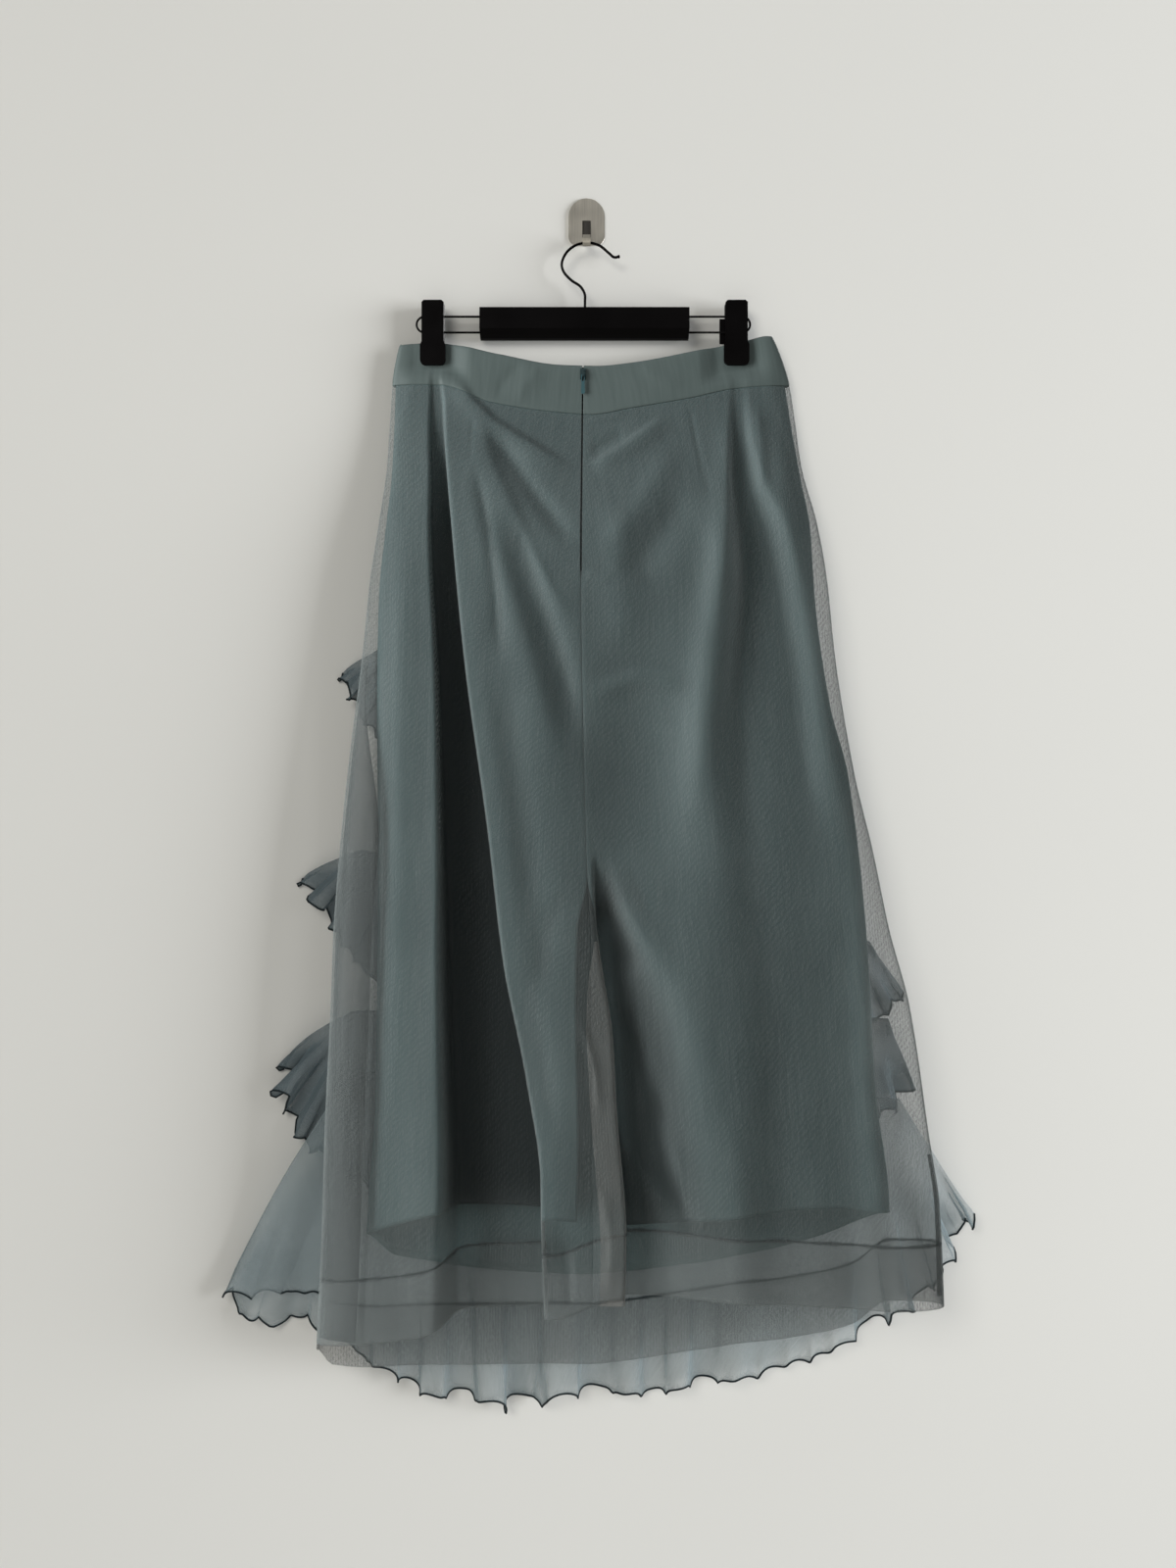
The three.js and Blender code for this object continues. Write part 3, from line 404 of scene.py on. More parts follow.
def form_depth(layer, side, x, z, folded=True):
    """Where the cloth lies along Y: a flattened ring between the side seams, with its folds."""
    left, right = layer["left"](z), layer["right"](z)
    out = np.clip((x - (left + right) / 2) / ((right - left) / 2), -1, 1)
    fullness = (1 - np.abs(out) ** RING_ROUNDNESS) ** (1 / RING_ROUNDNESS)
    bottom = band_line("bottom", side, x)
    sag = BAND_FRONT["bottom"] - bottom
    level = z + sag * (1 - smooth((bottom - z) / 150))
    back, front = ring["back"](level), ring["front"](level)
    middle = (back + front) / 2
    inset = layer["inset"](z)
    outer, seam = (back + inset, -GAP / 2) if side == "back" else (front - inset, GAP / 2)
    smooth_form = middle + seam + (outer - middle - seam) * fullness
    if not folded:
        return smooth_form
    fade = smooth((1 - np.abs(out)) / 0.1)
    if side == "back":
        groove = 0.25 * bump(x - centre_back(z), 1.6) * (z < ZIP_BOTTOM)
        folds = sum(valley_depth(valley, x, z) for valley in valleys)
        folds = folds - crease_depth(BACK_CREASES + DARTS, x, z)
        folds = folds + ripple(x, z) + groove
        # The folds stop short of the front lining.
        front = form_depth(LINING, "front", x, z, folded=False)
        back = form_depth(LINING, "back", x, z, folded=False)
        spare = np.maximum(front - back - FRONT_CLEARANCE, 0) - folds
        folds = folds + (spare - np.hypot(spare, 3)) / 2
    else:
        folds = crease_depth(FRONT_CREASES, x, z) - ripple(x + 300, z)
        folds = np.minimum(folds, FRONT_SWELL)
    return smooth_form + folds * fade


def ripple(x, z):
    """Slow, uneven waves of cloth that hangs free, growing towards the hem."""
    fall = smooth((-z - 260) / 700)
    waves = (
        np.sin(x / 15.5 + 1.3 * np.sin(z / 190))
        + 0.7 * np.sin(x / 9.1 + 0.9 * np.sin(z / 130 + 2))
        + 0.6 * np.sin(x / 27 - z / 260)
    )
    return 0.75 * fall * waves


def band_depth(side, x, z):
    """The band stands clear of its other side in the middle and is pressed flat in the clips."""
    flush = BAND_FLUSH if side == "back" else -BAND_FLUSH
    bend = 1 if side == "back" else smooth((np.abs(x) - FRONT_STRAIGHT) / 12)
    open_depth = form_depth(OVERLAY, side, x * bend, z) + flush
    pressed = HANGER_Y + (-JAW_GRIP if side == "back" else JAW_GRIP)
    nearest = np.minimum(*(np.abs(x - place) for place in CLIP_PLACES))
    hold = smooth((z - band_line("bottom", side, x) - 8) / 8)
    grip = (1 - smooth((nearest - CLIP_PAD / 2 - 3) / GRIP_EASE)) * hold
    return mix(open_depth, pressed, grip)


# ---------------- panels


def spread(share, ends="left"):
    """Crowds a panel's columns towards the side seams, where the cloth turns."""
    if ends == "left":
        return mix(share, share**2.2, 0.75)
    if ends == "right":
        return 1 - spread(1 - share)
    t = 2 * share - 1
    return 0.5 + np.sign(t) * (1 - spread(1 - np.abs(t))) / 2


def columns_across(ends, lined=False):
    """Where a panel's columns lie along X, as a function of their share of its width and of z. Its
    ends are at the "left" or the "right" side seam and the centre back, or at "both" seams."""
    seams = lining_ring if lined else ring
    inwards = 1 if ends == "left" else -1

    def place(share, z):
        share = spread(share, ends)
        if ends == "both":
            return mix(seams["left"](z), seams["right"](z), share)
        seam = ring[ends](z)
        if lined:
            middle = centre_back(z) + lining_edge[ends](z)
        else:
            gap = np.where(z > ZIP_BOTTOM, ZIP_SLIT / 2, GAP / 2)
            middle = centre_back(z) - inwards * gap
        x = mix(seam, middle, share) if ends == "left" else mix(middle, seam, share)
        if lined:
            # The lining draws in from the overlay's seam to its own.
            narrower = inwards * (seams[ends](z) - seam)
            power = np.clip(0.8 * inwards * (middle - seam) / np.maximum(narrower, 1), 1, 8)
            x = x + inwards * narrower * (1 - share if ends == "left" else share) ** power
        return x

    return place


FINE = 900  # columns to measure the cloth with, before it is divided evenly


def panel_grid(columns, falls, level, across, depth, shift=None):
    """A grid of points, spaced evenly along the cloth: falls says how far down each row is,
    level its height at a place, and shift how far the cloth leans along X."""
    falls = np.asarray(falls)[:, None]

    def settle(share):
        z = level(falls, np.zeros(share.shape))
        for _ in range(8):
            x = across(share, z)
            z = level(falls, x)
        return np.stack([x + shift(x, z) if shift else x, depth(x, z), z], axis=-1)

    fine = np.linspace(0, 1, FINE + 1)
    points = settle(np.broadcast_to(fine, (len(falls), FINE + 1)))
    step = np.linalg.norm(np.diff(points[..., :2], axis=1), axis=-1)
    middle = (points[:, 1:, 0] + points[:, :-1, 0]) / 2
    step = step * (1 + 2.5 * bump(middle - centre_back(points[:, 1:, 2]), 4))
    travelled = running_total(step, axis=1)
    travelled /= travelled[:, -1:]
    even = np.linspace(0, 1, columns + 1)
    return settle(np.array([np.interp(even, row, fine) for row in travelled]))


def fold_shade(grid):
    """How much shade is painted into the cloth's colour at each point, from 0 to 1: more the
    further it lies in the left or the centre fold, where little light gets down."""
    x, y, z = grid[..., 0], grid[..., 1], grid[..., 2]
    depth = y - form_depth(OVERLAY, "back", x, z, folded=False)
    shade = np.zeros(np.shape(x))
    for valley, start, over, most in ((left_valley, 3, 24, 1), (centre_valley, 3, 14, 0.7)):
        reach = valley["floor"](z) + valley["left"](z) + valley["right"](z) + 6
        near = 1 - smooth((np.abs(x - valley["x"](z)) - reach) / 8)
        near = near * smooth(valley["depth"](z) / 9)
        shade = np.maximum(shade, most * smooth((depth - start) / over) * near)
    return shade


def grid_normals(grid):
    normal = np.cross(np.gradient(grid, axis=1), np.gradient(grid, axis=0))
    return normal / np.linalg.norm(normal, axis=-1, keepdims=True).clip(1e-9)


def turned_up(grid, rows, space):
    """Adds a hem to a grid: its last rows again, turned up on the inner side."""
    centre = np.array([0.0, -50.0, 0.0])
    band = grid[-rows:]
    normal = grid_normals(grid)[-rows:]
    inside = np.sign(((centre - band) * normal)[..., 1:2].mean())
    turned = band + normal * inside * space
    fold = (grid[-1:] + turned[-1:]) / 2 - np.array([0, 0, 0.5])
    return np.concatenate([grid, fold, turned[::-1]])


# ---------------- meshes


def link_object(name, data):
    """A new object for a mesh, a light or a camera."""
    item = bpy.data.objects.new(name, data)
    bpy.context.scene.collection.objects.link(item)
    return item


def make_object(name, vertices, faces, look, uv=None, flat=None):
    """A mesh object, smooth but for its flat faces, with places on the cloth for its vertices."""
    mesh = bpy.data.meshes.new(name)
    mesh.from_pydata([tuple(v) for v in vertices], [], [tuple(f) for f in faces])
    mesh.polygons.foreach_set("use_smooth", np.ones(len(faces), bool) if flat is None else ~flat)
    mesh.materials.append(look)
    if uv is not None:
        loops = np.zeros(len(mesh.loops), np.int32)
        mesh.loops.foreach_get("vertex_index", loops)
        layer = mesh.uv_layers.new(name="cloth")
        layer.uv.foreach_set("vector", np.asarray(uv, np.float32)[loops].ravel())
    mesh.update()
    return link_object(name, mesh)


def grid_lengths(grid):
    """Distances along the cloth, across and down, in metres: the cloth's own coordinates."""
    across = np.linalg.norm(np.diff(grid, axis=1), axis=-1)
    down = np.linalg.norm(np.diff(grid, axis=0), axis=-1)
    u = running_total(across, axis=1)
    u = u - u.mean(axis=1, keepdims=True)
    return np.stack([u, running_total(down)], axis=-1) * MM


def shell(name, grid, thickness, look, shade=None):
    """Closes a grid of points into a thin wall, half its thickness to each side."""
    rows, columns = grid.shape[:2]
    shift = grid_normals(grid) * np.broadcast_to(thickness, (rows, columns))[..., None] / 2
    vertices = put(np.concatenate([(grid + shift).reshape(-1, 3), (grid - shift).reshape(-1, 3)]))
    number = np.arange(rows * columns).reshape(rows, columns)
    a, b, c, d = number[:-1, :-1], number[:-1, 1:], number[1:, 1:], number[1:, :-1]
    outer = np.stack([a, b, c, d], axis=-1).reshape(-1, 4)
    inner = outer[:, ::-1] + rows * columns
    border = [
        (number[0, :-1], number[0, 1:]),
        (number[:-1, -1], number[1:, -1]),
        (number[-1, 1:], number[-1, :-1]),
        (number[1:, 0], number[:-1, 0]),
    ]
    rims = [
        np.stack([end, start, start + rows * columns, end + rows * columns], axis=-1)
        for start, end in border
    ]
    faces = np.concatenate([outer, inner, *rims])
    flat = np.arange(len(faces)) >= 2 * len(outer)
    uv = np.tile(grid_lengths(grid).reshape(-1, 2), (2, 1))
    piece = make_object(name, vertices, faces, look, uv, flat)
    # The share of shade painted into the colour at each point, for the cloth's material to read.
    if shade is not None:
        layer = piece.data.attributes.new("fold_shade", "FLOAT", "POINT")
        layer.data.foreach_set("value", np.tile(shade.ravel(), 2).astype(np.float32))
    return piece


def tube(name, line, radius, look, sides):
    """A round tube along a line, closed at both ends."""
    line = np.asarray(line, float)
    radius = np.broadcast_to(radius, len(line))
    direction = np.gradient(line, axis=0)
    direction /= np.linalg.norm(direction, axis=1, keepdims=True).clip(1e-9)
    start = np.array([0, 0, 1.0]) if abs(direction[0][2]) < 0.9 else np.array([1.0, 0, 0])
    side = np.cross(direction[0], start)
    angle = np.linspace(0, 2 * math.pi, sides, endpoint=False)[:, None]
    sections = []
    for point, heading, size in zip(line, direction, radius):
        side = side - heading * (side @ heading)
        side /= np.linalg.norm(side)
        other = np.cross(heading, side)
        sections.append(point + size * (np.cos(angle) * side + np.sin(angle) * other))
    vertices = np.concatenate(sections + [line[:1], line[-1:]])
    around = [(j, (j + 1) % sides) for j in range(sides)]
    faces = []
    for i in range(0, (len(line) - 1) * sides, sides):
        faces += [(i + j, i + k, i + sides + k, i + sides + j) for j, k in around]
    first, last = len(vertices) - 2, len(vertices) - 1
    end = (len(line) - 1) * sides
    for j, k in around:
        faces += [(first, k, j), (last, end + j, end + k)]
    return make_object(name, put(vertices), faces, look)


def spline(places, steps):
    """Points along a smooth curve through the places."""
    places = np.asarray(places, float)
    ends = np.vstack([2 * places[0] - places[1], places, 2 * places[-1] - places[-2]])
    points = []
    for i in range(1, len(ends) - 2):
        a, b, c, d = ends[i - 1 : i + 3]
        t = np.linspace(0, 1, steps, endpoint=False)[:, None]
        points.append(
            0.5 * (2 * b + (c - a) * t + (2 * a - 5 * b + 4 * c - d) * t**2
                   + (3 * b - a - 3 * c + d) * t**3)
        )
    return np.concatenate(points + [places[-1:]])


def slab(name, low, high, bevel, look):
    """A box between two corners, its edges rounded."""
    low, high = put(low), put(high)
    build = bmesh.new()
    bmesh.ops.create_cube(build, size=1)
    for vertex in build.verts:
        vertex.co = (low + high) / 2 + (high - low) * vertex.co
    bmesh.ops.bevel(
        build, geom=build.edges[:], offset=bevel * MM, segments=2, affect="EDGES", profile=0.5,
        clamp_overlap=True,
    )
    mesh = bpy.data.meshes.new(name)
    build.to_mesh(mesh)
    build.free()
    mesh.polygons.foreach_set("use_smooth", np.ones(len(mesh.polygons), bool))
    mesh.set_sharp_from_angle(angle=math.radians(40))
    mesh.materials.append(look)
    return link_object(name, mesh)


# ---------------- looks


def linear(red, green, blue):
    """A colour from its 0 to 255 display values."""
    channels = [c / 255 for c in (red, green, blue)]
    return [c / 12.92 if c <= 0.04045 else ((c + 0.055) / 1.055) ** 2.4 for c in channels] + [1]


def scaled(colour, factor):
    return [c * factor for c in colour[:3]] + [1]


class Look:
    """A material and short ways to add and join its nodes."""

    def __init__(self, name):
        self.material = bpy.data.materials.new(name)
        self.material.use_nodes = True
        self.tree = self.material.node_tree
        self.shader = self.tree.nodes["Principled BSDF"]

    def add(self, kind, inputs=None, **settings):
        node = self.tree.nodes.new(f"ShaderNode{kind}")
        for key, value in settings.items():
            setattr(node, key, value)
        for key, value in (inputs or {}).items():
            self.feed(node.inputs[key], value)
        return node

    def feed(self, socket, value):
        if isinstance(value, bpy.types.NodeSocket):
            self.tree.links.new(value, socket)
        else:
            socket.default_value = value

    def set(self, **values):
        for key, value in values.items():
            self.feed(self.shader.inputs[key.replace("_", " ")], value)

    def math(self, operation, a, b=0.0):
        return self.add("Math", {0: a, 1: b}, operation=operation).outputs[0]

    def sum(self, a, share_a, b, share_b):
        parts = self.math("MULTIPLY", a, share_a), self.math("MULTIPLY", b, share_b)
        return self.math("ADD", *parts)

    def range(self, value, low, high, start=0.0, end=1.0):
        ends = {"Value": value, "From Min": low, "From Max": high, "To Min": start, "To Max": end}
        return self.add("MapRange", ends).outputs[0]

    def noise(self, place, scale, detail=2.0, stretch=(1, 1, 1)):
        moved = self.add("Mapping", {"Vector": place, "Scale": stretch}).outputs[0]
        return self.add("TexNoise", {"Vector": moved, "Scale": scale, "Detail": detail}).outputs[0]

    def wave(self, place, spacing, along="X", wobble=0.0):
        """Bands this far apart, in metres."""
        scale = 2 * math.pi / 20 / spacing
        inputs = {"Vector": place, "Scale": scale, "Distortion": wobble}
        return self.add("TexWave", inputs, bands_direction=along).outputs["Fac"]

    def blend(self, share, first, second):
        inputs = {0: share, 6: first, 7: second}
        return self.add("Mix", inputs, data_type="RGBA").outputs[2]

    def raise_by(self, height, strength, distance):
        inputs = {"Height": height, "Strength": strength, "Distance": distance}
        self.set(Normal=self.add("Bump", inputs).outputs[0])


def woven(look, place, spacing):
    """The height of a plain weave, its threads this far apart."""
    warp = look.wave(place, spacing, "X", 0.6)
    weft = look.wave(place, spacing, "Y", 0.6)
    return look.sum(warp, 0.5, weft, 0.5)


def cloth_look(
    name, colour, dark, roughness, spacing, bump_depth, sheen, sheer=None, moire=0.0, folded=False
):
    """Cloth with slubs along its length and a weave. Sheer is how much light passes one face,
    moire how uneven that is, and folded cloth has shade painted into its colour in its folds."""
    look = Look(name)
    colour, dark = linear(*colour), linear(*dark)
    place = look.add("TexCoord").outputs["UV"]
    slubs = look.noise(place, 60, 3, stretch=(5, 0.35, 1))
    clouds = look.noise(place, 9, 2)
    tone = look.range(look.sum(slubs, 0.55, clouds, 0.45), 0.34, 0.68)
    tint = look.blend(tone, dark, colour)
    # Painted shade: in the folds the colour darkens, by the fold_shade attribute, towards a much
    # darker copy of the dark colour.
    if folded:
        painted_shade = look.add("Attribute", attribute_name="fold_shade").outputs["Fac"]
        tint = look.blend(painted_shade, tint, scaled(dark, 0.2))
    look.set(Base_Color=tint)
    look.set(Roughness=look.range(slubs, 0.3, 0.7, roughness - 0.05, roughness + 0.06))
    look.set(Sheen_Weight=sheen, Sheen_Roughness=0.45, Sheen_Tint=colour)
    look.set(Specular_IOR_Level=0.25)
    weave = woven(look, place, spacing)
    height = look.math("ADD", weave, look.math("MULTIPLY", slubs, 0.8))
    look.raise_by(height, 0.5, bump_depth * MM)
    if sheer is not None:
        facing = look.add("LayerWeight", {"Blend": 0.5}).outputs["Facing"]
        straight = look.math("MAXIMUM", look.math("SUBTRACT", 1.0, facing), 0.16)
        path = look.math("DIVIDE", 1.0, straight)
        if moire:
            rings = look.wave(place, 0.0031, "DIAGONAL", 7.0)
            cross = look.wave(place, 0.0026, "X", 4.0)
            pattern = look.math("MULTIPLY", rings, cross)
            denser = look.range(pattern, 0.0, 1.0, 1 - moire, 1 + moire)
            path = look.math("MULTIPLY", path, denser)
        thicker = look.range(slubs, 0.3, 0.7, 0.9, 1.12)
        path = look.math("MULTIPLY", path, thicker)
        look.set(Alpha=look.math("SUBTRACT", 1.0, look.math("POWER", sheer, path)))
    return look.material


# Each cloth: its material's name, colour and darker colour, roughness, the spacing of its threads
# in metres, the height of its weave in millimetres, its sheen, and what it has besides. Folded
# cloth has shade painted into its colour in its folds.
CLOTH_LOOKS = {
    "overlay": (
        "overlay_net", (119, 126, 125), (105, 111, 110), 0.7, 0.0006, 0.02, 0.25,
        dict(sheer=0.81, moire=0.3, folded=True),
    ),
    "lining": (
        "lining_satin", (81, 101, 101), (71, 91, 92), 0.64, 0.0005, 0.012, 0.25, dict(folded=True),
    ),
    "band": ("band_faille", (85, 96, 94), (75, 86, 84), 0.54, 0.0006, 0.02, 0.2, {}),
    "flounce": (
        "flounce_chiffon", (160, 173, 177), (142, 157, 162), 0.55, 0.0007, 0.03, 0.2,
        dict(sheer=0.72),
    ),
    # The upper tiers' chiffon: less sheer, for its doubled layers, and darker than the flounce
    # chiffon, a painted shade.
    "ruffle": (
        "ruffle_chiffon", (112, 125, 130), (96, 110, 116), 0.55, 0.0007, 0.03, 0.2,
        dict(sheer=0.5),
    ),
    "flap": (
        "doubled_net", (140, 139, 134), (122, 121, 117), 0.7, 0.0006, 0.03, 0.25,
        dict(sheer=0.68, moire=0.3),
    ),
    # The seam allowance: the net doubled, and darker than the net, a painted shade at the side.
    "seam": (
        "seam_allowance", (58, 64, 64), (48, 54, 54), 0.6, 0.0006, 0.02, 0.2, dict(sheer=0.6),
    ),
    "tape": ("zip_tape", (24, 32, 33), (18, 25, 26), 0.6, 0.0014, 0.1, 0.1, {}),
    "thread": ("rolled_thread", (22, 36, 40), (16, 28, 32), 0.6, 0.0007, 0.08, 0.1, {}),
}
LOOKS = {key: cloth_look(*numbers, **more) for key, (*numbers, more) in CLOTH_LOOKS.items()}


def plastic_look(name, colour, roughness):
    """Grained plastic or paint, a little worn."""
    look = Look(name)
    place = look.add("TexCoord").outputs["Object"]
    grain = look.noise(place, 900, 4)
    wear = look.noise(place, 30, 3)
    worn = look.range(wear, 0.4, 0.75)
    look.set(Base_Color=look.blend(worn, colour, scaled(colour, 1.3)))
    look.set(Specular_IOR_Level=0.06)
    look.set(Roughness=look.range(wear, 0.3, 0.7, roughness - 0.06, roughness + 0.08))
    look.raise_by(grain, 0.25, 0.05 * MM)
    return look.material


def metal_look(name, colour, roughness, stretch):
    """Metal that is brushed along its height."""
    look = Look(name)
    place = look.add("TexCoord").outputs["Object"]
    brushed = look.noise(place, 700, 3, stretch=stretch)
    cloud = look.noise(place, 60, 2)
    tone = look.range(brushed, 0.3, 0.7)
    look.set(Base_Color=look.blend(tone, scaled(colour, 0.82), colour), Metallic=1.0)
    look.set(Roughness=look.range(cloud, 0.3, 0.7, roughness - 0.05, roughness + 0.08))
    look.raise_by(brushed, 0.3, 0.03 * MM)
    return look.material


LOOKS["steel"] = metal_look("brushed_steel", linear(206, 200, 186), 0.36, (1, 1, 0.04))
LOOKS["black"] = plastic_look("black_plastic", linear(4, 3, 3), 0.5)
LOOKS["wire"] = plastic_look("black_wire", linear(6, 5, 5), 0.4)
LOOKS["foam"] = plastic_look("dark_foam", linear(52, 50, 47), 0.8)
LOOKS["slider"] = plastic_look("painted_slider", linear(44, 56, 57), 0.35)
LOOKS["pull"] = plastic_look("painted_pull", linear(58, 84, 88), 0.38)


# ---------------- joining pieces to the frame


def mount(piece, replaces=()):
    """Hangs a piece on the skirt's body and hides the CAD nodes it stands for."""
    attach(piece, BODY)
    if replaces:
        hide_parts(*replaces)
    return piece


# ---------------- the band

# The band's rows, crowded towards its rounded edges.
BAND_FALLS = (0, 0.015, 0.05, 0.12, 0.22, 0.34, 0.46, 0.58, 0.7, 0.82, 0.92, 0.97, 1)


def hang(kind, place, grid, thickness, shade=None):
    """One panel of cloth."""
    name = f"{kind}_{place}"
    mount(shell(name + "_cloth", grid, thickness, LOOKS[kind], shade), [name])


def band_piece(place, side, ends, columns):
    def level(fall, x):
        return mix(band_line("top", side, x), band_line("bottom", side, x), fall)

    depth = partial(band_depth, side)
    grid = panel_grid(columns, BAND_FALLS, level, columns_across(ends), depth)
    falls = np.array(BAND_FALLS)[:, None]
    edge = np.minimum(falls, 1 - falls) / 0.05
    hang("band", place, grid, mix(0.5, BAND_CLOTH, np.sqrt(np.clip(edge, 0, 1))))


# ---------------- overlay and lining

OVERLAY_ROWS = {"back": 270, "front": 120}
LINING_ROWS = {"back": 220, "front": 110}
HEM_ROWS = 14


SWING, SWING_WIDTH, SWING_TOP = 20, 135, -980


def swing_past_seam(x, z):
    """At its hem the front swings out past the left side seam."""
    near = np.sin(math.pi * np.clip((x - ring["left"](z)) / SWING_WIDTH, 0, 1)) ** 2
    return -SWING * smooth((SWING_TOP - z) / 60) * near


def overlay_grid(side, ends, columns, falls):
    """The overlay at these falls: from the band to the hem's stitching for falls up to 1, and on
    to the edge at 2."""
    hem = level_across[f"overlay_{side}"]

    def level(fall, x):
        top = band_line("bottom", side, x) - 2 * GAP
        stitched = hem(x) + HEM_DEPTH
        return mix(top, stitched, np.minimum(fall, 1)) - HEM_DEPTH * np.maximum(fall - 1, 0)

    depth = partial(form_depth, OVERLAY, side)
    shift = lip_shift if side == "back" else swing_past_seam
    return panel_grid(columns, falls, level, columns_across(ends), depth, shift)


def overlay_panel(place, side, ends, columns):
    main = np.linspace(0, 1, OVERLAY_ROWS[side] + 1) ** 1.2
    falls = np.concatenate([main, 1 + np.linspace(0, 1, HEM_ROWS + 1)[1:]])
    grid = turned_up(overlay_grid(side, ends, columns, falls), HEM_ROWS + 1, HEM_SPACE)
    # Shade painted into the back's colour in its folds, fading out above the hem.
    shade = 0.8 * fold_shade(grid) * smooth((grid[..., 2] + 940) / 60) if side == "back" else None
    hang("overlay", place, grid, SHEER, shade)


def hem_line(side, ends, columns):
    """The top of the overlay's turned-up hem, just inside the overlay."""
    inside = HEM_SPACE + 0.7 if side == "back" else -HEM_SPACE - 0.7
    return overlay_grid(side, ends, columns, [1, 1.001])[0] + np.array([0, inside, 0])


def lining_panel(place, side, ends, columns):
    hem = level_across[f"lining_{side}"]

    def level(fall, x):
        return mix(band_line("bottom", side, x) + 4, hem(x), fall)

    depth = partial(form_depth, LINING, side)
    falls = np.linspace(0, 1, LINING_ROWS[side] + 1) ** 1.1
    shift = lip_shift if side == "back" else None
    grid = panel_grid(columns, falls, level, columns_across(ends, lined=True), depth, shift)
    # Shade painted into the back lining's colour in its folds.
    hang("lining", place, grid, SATIN, fold_shade(grid) if side == "back" else None)


# ---------------- flounces

# Each flounce hangs from a seam across the front. Its numbers are the seam's height at both ends,
# the length and depth of the folds, their stand-off from the wall, the share of the drop above
# which the cloth is smooth, the share of the width that turns back behind the left end, how far
# the left end bulges, and how long it stays calm. Then come its columns and rows and, at shares of
# the seam's width, how far the cloth drops and how far it turns from straight down, in degrees, so
# that the frilled edge runs up the side of the skirt.
FLOUNCE_NUMBERS = "seam_left seam_right frill depth wall free wrap bulge calm".split()
FLOUNCES = {
    "flounce_upper": ((-402, -530, 30, 5, 8, 0.1, 0, 0.1, 0), (340, 14), [
        (0, 41, -61), (0.04, 63, -40), (0.12, 94, -10), (0.25, 96, 0), (0.9, 94, 0), (1, 88, 0),
    ]),
    "flounce_middle": ((-588, -672, 40, 6, 9, 0.2, 0, 0.1, 0), (380, 18), [
        (0, 60, -64), (0.045, 84, -37), (0.1, 118, -18), (0.22, 150, 0), (0.8, 130, 0),
        (0.93, 100, 14), (1, 60, 36),
    ]),
    "flounce_lower": ((-735, -742, 52, 8, 10, 0.25, 0, 0.12, 0), (380, 16), [
        (0, 80, -52), (0.035, 132, -37), (0.06, 160, -12), (0.11, 196, 0), (0.2, 186, 0),
        (0.35, 130, 0), (0.8, 112, 0), (0.95, 96, 12), (1, 76, 24),
    ]),
    "flounce_hem": ((-790, -815, 64, 8, 13, 0.4, 0.035, 0.02, 60), (520, 28), [
        (0, 243, -31), (0.03, 215, -14), (0.045, 262, -8), (0.06, 272, -3), (0.1, 289, 0),
        (0.15, 301, 0), (0.5, 288, 0), (0.66, 276, 0), (0.8, 258, 0), (0.9, 228, 4),
        (0.97, 180, 17), (1, 133, 33),
    ]),
}
SEAM_INSIDE = 0.035  # share of the width that the flounces' seams stop short at each side
EDGE_RADIUS = 0.95


def flounce_paths(row, share):
    """The seam of a flounce and its edge before it is frilled. Shares below 0 are the end that
    turns back behind the flounce."""
    inside = np.abs(share)
    behind = smooth(-share / 0.012)
    seam_z = mix(row["seam_left"], row["seam_right"], inside)
    left, right = ring["left"](seam_z), ring["right"](seam_z)
    seam_x = mix(mix(left, right, SEAM_INSIDE), mix(left, right, 1 - SEAM_INSIDE), inside)
    drop = row["drop"](inside) + 26 * behind
    turn = np.radians(row["turn"](inside))
    return seam_x, seam_z, seam_x + drop * np.sin(turn), seam_z - drop * np.cos(turn), behind


